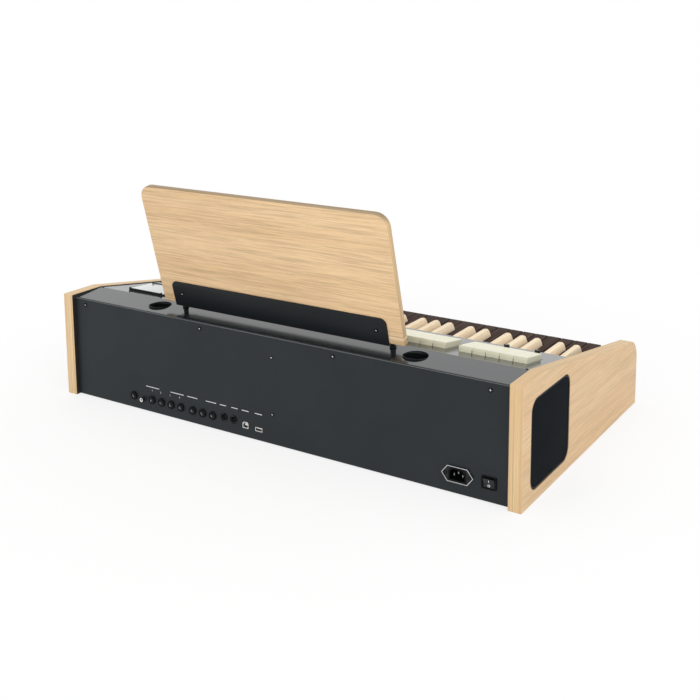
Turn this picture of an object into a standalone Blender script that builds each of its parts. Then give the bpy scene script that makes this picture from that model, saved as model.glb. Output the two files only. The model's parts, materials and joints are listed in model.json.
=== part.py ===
import math

import bmesh
import bpy
from mathutils import Matrix, Vector

# Case, in metres. x runs to the player's right, u runs forward from the cheeks' rear edge, z up
CASE_WIDTH = 0.898
DEPTH = 0.4955
HEIGHT = 0.188
CHEEK_THICKNESS = 0.0217
KNEE_U = 0.0715
KNEE_RADIUS = 0.012
SLOPE = math.radians(9.7)
NOSE_RADIUS = 0.038
CHEEK_EDGE = 0.0015
SHEET = 0.0015
FIT = 0.0003
REAR_RECESS = 0.0078
PANEL_LIFT = 0.002
BASE_LIFT = 0.004

# Speaker openings in the cheeks
GRILLE_U = 0.1018
GRILLE_Z = 0.088
GRILLE_LENGTH = 0.145
GRILLE_HEIGHT = 0.138
GRILLE_RADIUS = 0.020
GRILLE_GAP = 0.0005
GRILLE_THICKNESS = 0.005
GRILLE_SEAT = 0.001
SPEAKER_BORE = 0.039
SPEAKER_RADIUS = 0.043
SPEAKER_FLANGE = 0.004
SPEAKER_DEPTH = 0.042
CAP_RADIUS = 0.011
CAP_SINK = 0.010
CONE_SINK = 0.012
CONE_RADIUS = 0.032
SURROUND_SINK = 0.003
FLANGE_INNER = 0.0365
BASKET_RADIUS = 0.0215
MAGNET_RADIUS = 0.030
MAGNET_HEIGHT = 0.019

# Top cover with its sloping control panel
COVER_REAR_HEIGHT = 0.1832
COVER_DROP = 0.0015
COVER_FLANGE = 0.030
PANEL_FRONT_U = 0.222
SKIRT_U = 0.2385
SKIRT_CLEARANCE = 0.003
PORT_X = 0.255
PORT_U = 0.0435
PORT_RADIUS = 0.0195
PORT_WALL = 0.002
PORT_FLANGE = 0.0045
PORT_LENGTH = 0.070

# Music desk
DESK_WIDTH = 0.477
DESK_HEIGHT = 0.2177
DESK_THICKNESS = 0.0108
DESK_U = 0.0388
DESK_Z = 0.1974
DESK_TILT = math.radians(14.8)
DESK_CORNER = 0.0215
LEDGE_THICKNESS = 0.0137
LEDGE_REACH = 0.030
LEDGE_INSET = 0.025
LEDGE_CORNER = 0.008
BRACKET_WIDTH = 0.4245
BRACKET_TOP = 0.043
BRACKET_DROP = 0.003
BRACKET_SHEET = 0.002
BRACKET_CORNER = 0.010
BRACKET_SHELF = 0.026
PIN_INSET = 0.0043
PIN_REACH = 0.0175
PIN_RADIUS = 0.003
PIN_COLLAR = 0.0042
PIN_DEPTH = 0.012
PIN_HOLE = 0.0034

# Keyboard
OCTAVES = 5
NATURALS_IN_OCTAVE = 7
KEYS_MARGIN = 0.0035
KEY_FRONT_U = 0.3803
KEY_TOP = 0.135
KEY_HEIGHT = 0.0205
KEY_GAP = 0.001
KEY_TRAVEL = 0.010
PIVOT_U = 0.150
KEY_TAIL = 0.008
GANG_BAR = 0.009
GANG_TAIL = 0.011
SHARP_WIDTH = 0.0135
SHARP_TOP_WIDTH = 0.0102
SHARP_HEIGHT = 0.012
SHARP_SETBACK = 0.0485
SHARP_SLOPE = 0.005
SHARP_NOSE_CLIP = 0.003
SHARP_EDGE = 0.0015
SHARP_BAR_START = 0.003
SHARP_BAR_LENGTH = 0.010
KEYBED_THICKNESS = 0.016
KEYBED_DROP = 0.016
KEYBED_SETBACK = 0.004
RIDGE_WIDTH = 0.008
STOP_SETBACK = 0.018
STOP_WIDTH = 0.010
STOP_CLEARANCE = 0.0008

# Stop tabs
TAB_GAP = 0.0006
TABS_IN_GROUP = 5
TAB_GROUPS = 5
TABS_LEFT_MARGIN = 0.0213
TABS_RIGHT_MARGIN = 0.1779
TAB_REAR = 0.038
TAB_LENGTH = 0.056
TAB_REAR_HEIGHT = 0.009
TAB_FRONT_HEIGHT = 0.0085
TAB_END_DEPTH = 0.003
TAB_PIVOT_DEPTH = 0.0065
TAB_SLOT_GAP = 0.0015
TAB_BAR_WIDTH = 0.010
TAB_BAR_DEPTH = 0.004
TAB_RAIL_DEPTH = 0.0165
TAB_RAIL_WIDTH = 0.004

# Display and knobs
DISPLAY_MARGIN = 0.0893
DISPLAY_WIDTH = 0.080
DISPLAY_REAR = 0.022
DISPLAY_LENGTH = 0.063
DISPLAY_HEIGHT = 0.003
DISPLAY_RADIUS = 0.003
DISPLAY_BODY_INSET = 0.004
DISPLAY_BODY_DEPTH = 0.010
KNOBS_MARGIN = 0.0331
KNOB_SPACING = 0.0515
KNOB_V = 0.1055
KNOB_RADIUS = 0.005
KNOB_HEIGHT = 0.011
KNOB_TOP_RADIUS = 0.004
KNOB_SHOULDER_RADIUS = 0.0045
KNOB_SHOULDER = 0.0005
KNOB_SHAFT_RADIUS = 0.003
KNOB_SHAFT_DEPTH = 0.009

# Front rail and thumb pistons
RAIL_GAP = 0.0035
RAIL_REAR_Z = 0.108
RAIL_FLANGE = 0.014
RAIL_FRONT_SETBACK = 0.005
RAIL_SHEET = 0.002
PISTON_V = 0.020
PISTON_PITCH = 0.022
PISTONS_IN_GROUP = 5
PISTON_GROUP_X = 0.120
PISTON_RADIUS = 0.006
PISTON_HEIGHT = 0.005
PISTON_TRAVEL = 0.002
PISTON_HOLE_GAP = 0.0005
PISTON_BAR_THICKNESS = 0.003
PISTON_BAR_WIDTH = 0.012

# Sockets on the rear panel
JACK_Z = 0.024
JACK_PITCH = 0.0218
PHONES_X = 0.2915
LINE_JACKS_X = 0.2489
LINE_JACKS = 4
PEDAL_JACKS_X = 0.1571
PEDAL_JACKS = 3
JACK_BORE = 0.0032
JACK_BARREL = 0.0047
JACK_NUT = 0.0072
JACK_NUT_THICKNESS = 0.0023
JACK_PROUD = 0.003
JACK_BODY = 0.015
JACK_DEPTH = 0.022
PHONO_X = 0.2690
PHONO_Z = 0.0218
PHONO_RADIUS = 0.0042
PHONO_BORE = 0.0016
PHONO_PROUD = 0.0068
ROUND_X = 0.0890
ROUND_PITCH = 0.0204
ROUND_SOCKETS = 2
ROUND_Z = 0.0268
ROUND_RADIUS = 0.0077
ROUND_BORE = 0.0064
ROUND_DEPTH = 0.008
USB_B_X = 0.0441
USB_B_SIZE = (0.0120, 0.0108)
USB_B_MOUTH = (0.0084, 0.0078)
USB_B_Z = 0.0224
USB_A_X = 0.0168
USB_A_SIZE = (0.0145, 0.0070)
USB_A_MOUTH = (0.0125, 0.0050)
USB_A_Z = 0.0205
USB_DEPTH = 0.012
SOCKET_PROUD = 0.0005
BOARD_THICKNESS = 0.0016
BOARD_MARGIN = 0.010
BOARD_BOTTOM = 0.008
BOARD_TOP = 0.045

# Mains inlet and power switch
INLET_SPACING = 0.0500
INLET_Z = 0.0314
INLET_WIDTH = 0.052
INLET_FLAT = 0.033
INLET_HEIGHT = 0.025
INLET_FLANGE = 0.0025
INLET_BODY = (0.028, 0.021)
INLET_MOUTH = (0.0245, 0.0165)
INLET_CHAMFER = 0.005
INLET_DEPTH = 0.0155
INLET_BACK = 0.004
INLET_PIN = (0.002, 0.004)
INLET_PIN_LENGTH = 0.011
INLET_PIN_PITCH = 0.007
INLET_PIN_RAISE = 0.002
SWITCH_MARGIN = 0.0320
SWITCH_Z = 0.0312
SWITCH_SIZE = (0.0240, 0.0196)
SWITCH_BODY = (0.0206, 0.0184)
SWITCH_MOUTH = (0.0184, 0.0170)
SWITCH_FLANGE = 0.0017
SWITCH_DEPTH = 0.020
SWITCH_BACK = 0.004
ROCKER_HALF = 0.0071
ROCKER_RISE = 0.0044
ROCKER_TILT = math.radians(9)
ROCKER_KEEL = 0.0035
ROCKER_KEEL_HALF = 0.003
ROCKER_SHOULDER = 0.001
ROCKER_SINK = 0.0032

# Electronics on the base
MAIN_BOARD = (0.200, 0.110)
MAIN_BOARD_X = 0.120
MAIN_BOARD_U = 0.110
STANDOFF_HEIGHT = 0.006
STANDOFF_RADIUS = 0.003
CHIP = (0.024, 0.024, 0.003)
CHIP_SPACING = 0.060
SUPPLY_LENGTH = 0.120
SUPPLY_WIDTH = 0.075
SUPPLY_HEIGHT = 0.038
SUPPLY_X = -0.320
SUPPLY_U = 0.110
SUPPLY_EDGE = 0.001
SINK_LENGTH = 0.110
SINK_WIDTH = 0.060
SINK_X = -0.140
SINK_U = 0.110
SINK_BASE = 0.005
SINK_FIN_HEIGHT = 0.025
SINK_FIN = 0.002
SINK_FINS = 9

ARC_STEPS = 6
SLIVER = 0.001

# What follows from the driving dimensions
DESK_OVERHANG = DESK_HEIGHT * math.sin(DESK_TILT) - DESK_U
REAR_Y = (DEPTH - max(DESK_OVERHANG, 0)) / 2
HALF_INSIDE = CASE_WIDTH / 2 - CHEEK_THICKNESS
HALF_FIT = HALF_INSIDE - FIT
PIN_X = BRACKET_WIDTH / 2 - PIN_INSET
NATURAL_PITCH = 2 * (HALF_INSIDE - KEYS_MARGIN) / (NATURALS_IN_OCTAVE * OCTAVES + 1)
TAB_FIRST_X = TABS_LEFT_MARGIN - HALF_INSIDE
TABS_SPAN = 2 * HALF_INSIDE - TABS_LEFT_MARGIN - TABS_RIGHT_MARGIN
TAB_PITCH = TABS_SPAN / (TAB_GROUPS * (TABS_IN_GROUP + 1) - 1)
DISPLAY_X = HALF_INSIDE - DISPLAY_MARGIN
KNOB_XS = (KNOBS_MARGIN - HALF_INSIDE, KNOBS_MARGIN + KNOB_SPACING - HALF_INSIDE)
SWITCH_X = SWITCH_MARGIN - HALF_INSIDE
INLET_X = SWITCH_X + INLET_SPACING
PANEL_INNER_U = REAR_RECESS + SHEET
KNEE_Z = HEIGHT - COVER_DROP
PANEL_FRONT_Z = KNEE_Z - (PANEL_FRONT_U - KNEE_U) * math.tan(SLOPE)
COVER_START_U = PANEL_INNER_U + FIT
COVER_TILT = math.atan2(KNEE_Z - COVER_REAR_HEIGHT, KNEE_U - COVER_START_U)
KEY_BOTTOM = KEY_TOP - KEY_HEIGHT
SHARP_TOP = KEY_TOP + SHARP_HEIGHT
SHARP_FRONT_U = KEY_FRONT_U - SHARP_SETBACK
SKIRT_Z = SHARP_TOP + SKIRT_CLEARANCE
KEY_ANGLE = math.asin(KEY_TRAVEL / (KEY_FRONT_U - PIVOT_U))
OCTAVE = NATURALS_IN_OCTAVE * NATURAL_PITCH
FIRST_KEY_X = KEYS_MARGIN - HALF_INSIDE
RAIL_REAR_U = KEY_FRONT_U + RAIL_GAP
RAIL_FRONT_U = DEPTH - RAIL_FRONT_SETBACK
RAIL_FRONT_Z = RAIL_REAR_Z - (RAIL_FRONT_U - RAIL_REAR_U) * math.tan(SLOPE)
BASE_TOP = BASE_LIFT + SHEET
BOARD_U = PANEL_INNER_U + FIT + JACK_DEPTH

# Colour, roughness and metallic of each finish
FINISHES = {
    "oak": ((0.73, 0.51, 0.30), 0.5, 0.0),
    "charcoal": ((0.030, 0.034, 0.038), 0.4, 0.2),
    "grille_black": ((0.014, 0.018, 0.023), 0.8, 0.0),
    "cone_black": ((0.02, 0.02, 0.02), 0.7, 0.0),
    "black_plastic": ((0.012, 0.012, 0.013), 0.35, 0.0),
    "black_steel": ((0.016, 0.017, 0.019), 0.4, 0.6),
    "dark_wood": ((0.055, 0.035, 0.030), 0.5, 0.0),
    "pale_wood": ((0.78, 0.56, 0.36), 0.45, 0.0),
    "cream": ((0.80, 0.77, 0.60), 0.3, 0.0),
    "raw_wood": ((0.55, 0.42, 0.28), 0.7, 0.0),
    "bare_steel": ((0.55, 0.56, 0.57), 0.35, 1.0),
    "board_green": ((0.02, 0.15, 0.06), 0.5, 0.0),
    "aluminium": ((0.75, 0.76, 0.77), 0.35, 1.0),
    "gloss_black": ((0.01, 0.01, 0.012), 0.08, 0.0),
}

# Local frames: the columns give where an outline's two axes and its thickness point
SIDE = Matrix(((0, 0, -1), (-1, 0, 0), (0, 1, 0))).to_4x4()
BACK = Matrix(((1, 0, 0), (0, 0, -1), (0, 1, 0))).to_4x4()
PLAN = Matrix(((1, 0, 0), (0, -1, 0), (0, 0, -1))).to_4x4()


def clear_scene():
    for obj in list(bpy.data.objects):
        bpy.data.objects.remove(obj, do_unlink=True)


def new_collection(name):
    group = bpy.data.collections.new(name)
    bpy.context.scene.collection.children.link(group)
    return group


clear_scene()
PARTS = new_collection("electronic_organ")
CUTTERS = new_collection("cutters")


def point(x, u, z):
    """The world point at x, a distance u forward of the cheeks' rear edge, and height z."""
    return Vector((x, REAR_Y - u, z))


def make_object(name, mesh, matrix=Matrix()):
    obj = bpy.data.objects.new(name, mesh)
    obj.matrix_world = matrix
    PARTS.objects.link(obj)
    return obj


def finish(obj, name):
    colour, roughness, metallic = FINISHES[name]
    material = bpy.data.materials.new(obj.name)
    material.use_nodes = True
    shader = material.node_tree.nodes["Principled BSDF"]
    shader.inputs["Base Color"].default_value = (*colour, 1)
    shader.inputs["Roughness"].default_value = roughness
    shader.inputs["Metallic"].default_value = metallic
    obj.data.materials.clear()
    obj.data.materials.append(material)
    return obj


def rounded(corners, steps=ARC_STEPS):
    """An outline from corners given as (a, b) or (a, b, radius), with an arc at each radius."""
    outline = []
    for i, corner in enumerate(corners):
        here = Vector(corner[:2])
        radius = corner[2] if len(corner) > 2 else 0
        if not radius:
            outline.append(here)
            continue
        before = (Vector(corners[i - 1][:2]) - here).normalized()
        after = (Vector(corners[(i + 1) % len(corners)][:2]) - here).normalized()
        half = before.angle(after) / 2
        centre = here + (before + after).normalized() * radius / math.sin(half)
        start = here + before * radius / math.tan(half) - centre
        end = here + after * radius / math.tan(half) - centre
        turn = start.angle_signed(end)
        for k in range(steps + 1):
            outline.append(centre + Matrix.Rotation(-turn * k / steps, 2) @ start)
    return outline


def rectangle(a0, a1, b0, b1, radius=0):
    return rounded([(a0, b0, radius), (a1, b0, radius), (a1, b1, radius), (a0, b1, radius)])


def prism(name, outline, thickness, matrix):
    """A flat outline given thickness, centred on the plane of the matrix, as a mesh."""
    curve = bpy.data.curves.new(name, "CURVE")
    curve.dimensions = "2D"
    curve.fill_mode = "BOTH"
    curve.extrude = thickness / 2
    spline = curve.splines.new("POLY")
    spline.points.add(len(outline) - 1)
    for target, (a, b) in zip(spline.points, outline):
        target.co = (a, b, 0, 1)
    spline.use_cyclic_u = True
    flat = bpy.data.objects.new(name + "_outline", curve)
    PARTS.objects.link(flat)
    bpy.context.view_layer.update()
    graph = bpy.context.evaluated_depsgraph_get()
    mesh = bpy.data.meshes.new_from_object(flat.evaluated_get(graph))
    bpy.data.objects.remove(flat, do_unlink=True)
    shape = bmesh.new()
    shape.from_mesh(mesh)
    bmesh.ops.remove_doubles(shape, verts=shape.verts, dist=0.00001)
    bmesh.ops.recalc_face_normals(shape, faces=shape.faces)
    shape.to_mesh(mesh)
    shape.free()
    mesh.name = name
    return make_object(name, mesh, matrix)


def side_prism(name, outline, x0, x1):
    """An outline in (u, z), from x0 to x1."""
    return prism(name, outline, x1 - x0, Matrix.Translation(point((x0 + x1) / 2, 0, 0)) @ SIDE)


def back_prism(name, outline, u0, u1):
    """An outline in (x, z), from u0 to u1."""
    return prism(name, outline, u1 - u0, Matrix.Translation(point(0, (u0 + u1) / 2, 0)) @ BACK)


def plan_prism(name, outline, z0, z1):
    """An outline in (x, u), from z0 to z1."""
    return prism(name, outline, z1 - z0, Matrix.Translation(point(0, 0, (z0 + z1) / 2)) @ PLAN)


def box(name, x0, x1, u0, u1, z0, z1):
    shape = bmesh.new()
    bmesh.ops.create_cube(shape, size=1)
    size = Matrix.Diagonal((x1 - x0, u1 - u0, z1 - z0, 1))
    bmesh.ops.transform(shape, matrix=size, verts=shape.verts)
    mesh = bpy.data.meshes.new(name)
    shape.to_mesh(mesh)
    shape.free()
    centre = point((x0 + x1) / 2, (u0 + u1) / 2, (z0 + z1) / 2)
    return make_object(name, mesh, Matrix.Translation(centre))


def cylinder(name, radius, low, high, matrix, sides=24):
    """A cylinder about the matrix's third axis, from low to high along it."""
    shape = bmesh.new()
    bmesh.ops.create_cone(
        shape,
        cap_ends=True,
        segments=sides,
        radius1=radius,
        radius2=radius,
        depth=high - low,
        matrix=Matrix.Translation((0, 0, (low + high) / 2)),
    )
    mesh = bpy.data.meshes.new(name)
    shape.to_mesh(mesh)
    shape.free()
    return make_object(name, mesh, matrix)


def turned(name, profile, matrix, steps=24):
    """A solid turned about the matrix's third axis, from a profile of (radius, height) run top to bottom."""
    shape = bmesh.new()
    verts = [shape.verts.new((radius, 0, height)) for radius, height in profile]
    loop = verts if profile[0][0] == 0 else verts + verts[:1]
    for first, second in zip(loop, loop[1:]):
        shape.edges.new((first, second))
    mesh = bpy.data.meshes.new(name)
    shape.to_mesh(mesh)
    shape.free()
    obj = make_object(name, mesh, matrix)
    screw = obj.modifiers.new("turn", "SCREW")
    screw.steps = steps
    screw.render_steps = steps
    screw.use_merge_vertices = True
    screw.merge_threshold = 0.00001
    screw.use_smooth_shade = True
    return obj


def bake(obj):
    """Replaces the object's mesh with its evaluated one, welded and facing out."""
    bpy.context.view_layer.update()
    graph = bpy.context.evaluated_depsgraph_get()
    mesh = bpy.data.meshes.new_from_object(obj.evaluated_get(graph))
    shape = bmesh.new()
    shape.from_mesh(mesh)
    bmesh.ops.remove_doubles(shape, verts=shape.verts, dist=0.000001)
    shape.to_mesh(mesh)
    shape.free()
    mesh.name = obj.name
    obj.modifiers.clear()
    obj.data = mesh
    return obj


def combine(obj, tools, operation):
    """Joins the tools to the object, or cuts them from it, and leaves one mesh."""
    for tool in tools:
        step = obj.modifiers.new(operation.lower(), "BOOLEAN")
        step.operation = operation
        step.solver = "EXACT"
        step.object = tool
    bake(obj)
    for tool in tools:
        bpy.data.objects.remove(tool, do_unlink=True)
    return obj


def join(obj, tools):
    return combine(obj, tools, "UNION")


def cut(obj, tools):
    """Cuts the tools from the object by modifiers that stay on it."""
    for tool in tools:
        PARTS.objects.unlink(tool)
        CUTTERS.objects.link(tool)
        tool.hide_render = True
        tool.display_type = "WIRE"
        step = obj.modifiers.new(tool.name, "BOOLEAN")
        step.operation = "DIFFERENCE"
        step.solver = "EXACT"
        step.object = tool
    return obj


def soften(obj, width, segments=2):
    bevel = obj.modifiers.new("edges", "BEVEL")
    bevel.width = width
    bevel.segments = segments
    bevel.limit_method = "ANGLE"
    bevel.angle_limit = math.radians(40)
    return obj


def set_pivot(obj, pivot):
    """Moves the object's origin to the world point, with its mesh left where it is."""
    bpy.context.view_layer.update()
    obj.data.transform(Matrix.Translation(-pivot) @ obj.matrix_world)
    obj.matrix_world = Matrix.Translation(pivot)
    return obj


def slanted(origin, tilt):
    """A frame whose first axis is x, second runs forward down the slope and third is the slope's normal."""
    return Matrix.Translation(origin) @ Matrix.Rotation(math.pi, 4, "X") @ Matrix.Rotation(-tilt, 4, "X")


def on_slope(slope, x, v, h):
    """The point x across, v forward along and h above a slope whose frame has its normal downward."""
    return slope @ Vector((x, v, -h))


PANEL = slanted(point(0, KNEE_U, KNEE_Z), -SLOPE)
RAIL = slanted(point(0, RAIL_REAR_U, RAIL_REAR_Z), -SLOPE)


def slope_prism(name, slope, outline, h0, h1):
    """An outline in (x, v) on a slope, from h0 to h1 above it."""
    return prism(name, outline, h1 - h0, slope @ Matrix.Translation((0, 0, -(h0 + h1) / 2)))


def slope_profile(name, slope, outline, x0, x1):
    """An outline in (v, h) on a slope, from x0 to x1."""
    columns = Matrix(((0, 0, -1), (1, 0, 0), (0, -1, 0))).to_4x4()
    return prism(name, outline, x1 - x0, slope @ Matrix.Translation(((x0 + x1) / 2, 0, 0)) @ columns)


def slope_axis(slope, x, v):
    """A frame at a point of a slope with its third axis along the upward normal."""
    return slope @ Matrix.Translation((x, v, 0)) @ Matrix.Rotation(math.pi, 4, "X")


def rearward(x, z, u=0):
    """A frame at a point behind the organ with its third axis pointing to the rear."""
    return Matrix.Translation(point(x, u, z)) @ Matrix.Rotation(-math.pi / 2, 4, "X")


def folded_sheet(name, path, thickness, x0, x1):
    """A sheet whose outer face follows a path of (u, z) run from rear to front, from x0 to x1."""
    shape = bmesh.new()
    verts = [shape.verts.new(point(x0, u, z)) for u, z in path]
    edges = [shape.edges.new(pair) for pair in zip(verts, verts[1:])]
    swept = bmesh.ops.extrude_edge_only(shape, edges=edges)["geom"]
    moved = [item for item in swept if isinstance(item, bmesh.types.BMVert)]
    bmesh.ops.translate(shape, vec=(x1 - x0, 0, 0), verts=moved)
    bmesh.ops.recalc_face_normals(shape, faces=shape.faces)
    if shape.faces[:][len(path) // 2].normal.z < 0:
        bmesh.ops.reverse_faces(shape, faces=shape.faces)
    mesh = bpy.data.meshes.new(name)
    shape.to_mesh(mesh)
    shape.free()
    obj = make_object(name, mesh)
    wall = obj.modifiers.new("sheet", "SOLIDIFY")
    wall.thickness = thickness
    wall.offset = -1
    wall.use_even_offset = True
    return bake(obj)


def make_cheek(name, side):
    """An end panel with the recess for its grille and the bore behind it."""
    outer = side * CASE_WIDTH / 2
    inner = side * HALF_INSIDE
    outline = rounded([
        (0, 0),
        (0, HEIGHT),
        (KNEE_U, HEIGHT, KNEE_RADIUS),
        (DEPTH, HEIGHT - (DEPTH - KNEE_U) * math.tan(SLOPE), NOSE_RADIUS),
        (DEPTH, 0),
    ])
    cheek = soften(side_prism(name, outline, min(outer, inner), max(outer, inner)), CHEEK_EDGE)
    half = GRILLE_LENGTH / 2 + GRILLE_GAP
    rise = GRILLE_HEIGHT / 2 + GRILLE_GAP
    window = rectangle(
        GRILLE_U - half, GRILLE_U + half, GRILLE_Z - rise, GRILLE_Z + rise, GRILLE_RADIUS
    )
    floor = outer - side * (GRILLE_THICKNESS + GRILLE_SEAT)
    beyond = outer + side * SLIVER
    recess = side_prism(name + "_recess", window, min(floor, beyond), max(floor, beyond))
    across = Matrix.Translation(point(0, GRILLE_U, GRILLE_Z)) @ Matrix.Rotation(math.pi / 2, 4, "Y")
    low, high = sorted((inner - side * SLIVER, beyond))
    bore = cylinder(name + "_bore", SPEAKER_BORE, low, high, across, 32)
    return finish(cut(cheek, [recess, bore]), "oak")


def make_grille(name, side):
    """A flat grille, flush in its recess."""
    outer = side * CASE_WIDTH / 2
    back = outer - side * GRILLE_THICKNESS
    window = rectangle(
        GRILLE_U - GRILLE_LENGTH / 2,
        GRILLE_U + GRILLE_LENGTH / 2,
        GRILLE_Z - GRILLE_HEIGHT / 2,
        GRILLE_Z + GRILLE_HEIGHT / 2,
        GRILLE_RADIUS,
    )
    return finish(side_prism(name, window, min(outer, back), max(outer, back)), "grille_black")


def make_speaker(name, side):
    """A driver behind the cheek: dust cap, cone, surround, flange, basket and magnet."""
    magnet_top = MAGNET_HEIGHT - SPEAKER_DEPTH
    profile = [
        (0, -CAP_SINK),
        (CAP_RADIUS, -CONE_SINK),
        (CONE_RADIUS, -SURROUND_SINK),
        (FLANGE_INNER, 0),
        (SPEAKER_RADIUS, 0),
        (SPEAKER_RADIUS, -SPEAKER_FLANGE),
        (FLANGE_INNER, -SPEAKER_FLANGE),
        (BASKET_RADIUS, magnet_top),
        (MAGNET_RADIUS, magnet_top),
        (MAGNET_RADIUS, -SPEAKER_DEPTH),
        (0, -SPEAKER_DEPTH),
    ]
    turn = Matrix.Rotation(side * math.pi / 2, 4, "Y")
    place = Matrix.Translation(point(side * HALF_FIT, GRILLE_U, GRILLE_Z))
    return finish(turned(name, profile, place @ turn), "cone_black")


def all_jacks():
    """The x of every jack: headphones, line outputs and pedals."""
    lines = [LINE_JACKS_X - JACK_PITCH * k for k in range(LINE_JACKS)]
    pedals = [PEDAL_JACKS_X - JACK_PITCH * k for k in range(PEDAL_JACKS)]
    return [PHONES_X, *lines, *pedals]


def round_sockets():
    return [ROUND_X - ROUND_PITCH * k for k in range(ROUND_SOCKETS)]


def centred(x, z, size, extra=0):
    """A rectangle of the size centred on (x, z), grown by extra on each side."""
    half, rise = size[0] / 2 + extra, size[1] / 2 + extra
    return rectangle(x - half, x + half, z - rise, z + rise)


def make_rear_panel():
    """A flat sheet with a hole for each socket."""
    outline = rectangle(-HALF_FIT, HALF_FIT, PANEL_LIFT, COVER_REAR_HEIGHT)
    panel = back_prism("rear_panel", outline, REAR_RECESS, PANEL_INNER_U)
    through = (REAR_RECESS - SLIVER, PANEL_INNER_U + SLIVER)
    holes = [
        cylinder(f"jack_hole_{i}", JACK_BARREL + FIT, -through[1], -through[0], rearward(x, JACK_Z))
        for i, x in enumerate(all_jacks())
    ]
    holes += [
        cylinder(f"round_hole_{i}", ROUND_RADIUS + FIT, -through[1], -through[0], rearward(x, ROUND_Z))
        for i, x in enumerate(round_sockets())
    ]
    holes.append(
        cylinder("phono_hole", PHONO_RADIUS + FIT, -through[1], -through[0], rearward(PHONO_X, PHONO_Z))
    )
    flats = {
        "usb_b_hole": centred(USB_B_X, USB_B_Z, USB_B_SIZE, FIT),
        "usb_a_hole": centred(USB_A_X, USB_A_Z, USB_A_SIZE, FIT),
        "inlet_hole": centred(INLET_X, INLET_Z, INLET_BODY, FIT),
        "switch_hole": centred(SWITCH_X, SWITCH_Z, SWITCH_BODY, FIT),
    }
    holes += [back_prism(name, shape, *through) for name, shape in flats.items()]
    return finish(cut(panel, holes), "charcoal")


def tab_group_x(group):
    """The x of a group's first tab edge."""
    return TAB_FIRST_X + group * (TABS_IN_GROUP + 1) * TAB_PITCH


def cover_port_frame(x):
    """A frame on the flat rear part of the cover with its third axis along the upward normal."""
    z = COVER_REAR_HEIGHT + (PORT_U - COVER_START_U) * math.tan(COVER_TILT)
    return Matrix.Translation(point(x, PORT_U, z)) @ Matrix.Rotation(-COVER_TILT, 4, "X")


def pin_u():
    return DESK_U + PIN_REACH


def make_top_cover():
    """The folded sheet: rear flange, flat top, sloping control panel and front skirt."""
    path = [
        (COVER_START_U, COVER_REAR_HEIGHT - COVER_FLANGE),
        (COVER_START_U, COVER_REAR_HEIGHT),
        (KNEE_U, KNEE_Z),
        (PANEL_FRONT_U, PANEL_FRONT_Z),
        (SKIRT_U, SKIRT_Z),
    ]
    cover = folded_sheet("top_cover", path, SHEET, -HALF_FIT, HALF_FIT)
    deep = SHEET + SLIVER
    holes = []
    for side, x in (("left", -PORT_X), ("right", PORT_X)):
        holes.append(cylinder(f"{side}_port_hole", PORT_RADIUS, -deep, SLIVER, cover_port_frame(x), 32))
    for side, x in (("left", -PIN_X), ("right", PIN_X)):
        upright = Matrix.Translation(point(x, pin_u(), KNEE_Z))
        holes.append(cylinder(f"{side}_pin_hole", PIN_HOLE, -2 * deep, deep, upright))
    for group in range(TAB_GROUPS):
        start = tab_group_x(group)
        slot = rectangle(
            start - TAB_SLOT_GAP,
            start + TABS_IN_GROUP * TAB_PITCH + TAB_SLOT_GAP,
            TAB_REAR - TAB_SLOT_GAP,
            TAB_REAR + TAB_LENGTH + TAB_SLOT_GAP,
        )
        holes.append(slope_prism(f"tab_slot_{group + 1}", PANEL, slot, -deep, SLIVER))
    window = display_outline(DISPLAY_BODY_INSET - FIT)
    holes.append(slope_prism("display_window", PANEL, window, -deep, SLIVER))
    for i, x in enumerate(KNOB_XS):
        hole = cylinder(
            f"knob_hole_{i + 1}", KNOB_SHAFT_RADIUS + FIT, -deep, SLIVER, slope_axis(PANEL, x, KNOB_V)
        )
        holes.append(hole)
    return finish(cut(cover, holes), "charcoal")


def make_port_tube(name, x):
    """A bass port: a straight tube with a flange under the cover."""
    top = -SHEET - FIT
    outer = PORT_RADIUS + PORT_WALL
    profile = [
        (PORT_RADIUS, top),
        (outer + PORT_FLANGE, top),
        (outer + PORT_FLANGE, top - PORT_WALL),
        (outer, top - PORT_WALL),
        (outer, top - PORT_LENGTH),
        (PORT_RADIUS, top - PORT_LENGTH),
    ]
    return finish(turned(name, profile, cover_port_frame(x), 32), "black_plastic")


def make_base_panel():
    outline = rectangle(-HALF_FIT, HALF_FIT, PANEL_INNER_U + FIT, RAIL_FRONT_U - RAIL_SHEET - FIT)
    return finish(plan_prism("base_panel", outline, BASE_LIFT, BASE_TOP), "charcoal")


def piston_x(group, index):
    centre = (-1, 1)[group] * PISTON_GROUP_X
    return centre + (index - (PISTONS_IN_GROUP - 1) / 2) * PISTON_PITCH


def make_front_rail():
    """The folded rail in front of the keys, with a round hole for each thumb piston."""
    path = [
        (RAIL_REAR_U, RAIL_REAR_Z - RAIL_FLANGE),
        (RAIL_REAR_U, RAIL_REAR_Z),
        (RAIL_FRONT_U, RAIL_FRONT_Z),
        (RAIL_FRONT_U, BASE_LIFT),
    ]
    rail = folded_sheet("front_rail", path, RAIL_SHEET, -HALF_FIT, HALF_FIT)
    holes = []
    for group in range(2):
        for index in range(PISTONS_IN_GROUP):
            place = slope_axis(RAIL, piston_x(group, index), PISTON_V)
            radius = PISTON_RADIUS + PISTON_HOLE_GAP
            name = f"piston_hole_{group * PISTONS_IN_GROUP + index + 1}"
            holes.append(cylinder(name, radius, -RAIL_SHEET - SLIVER, SLIVER, place))
    return finish(cut(rail, holes), "charcoal")


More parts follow.
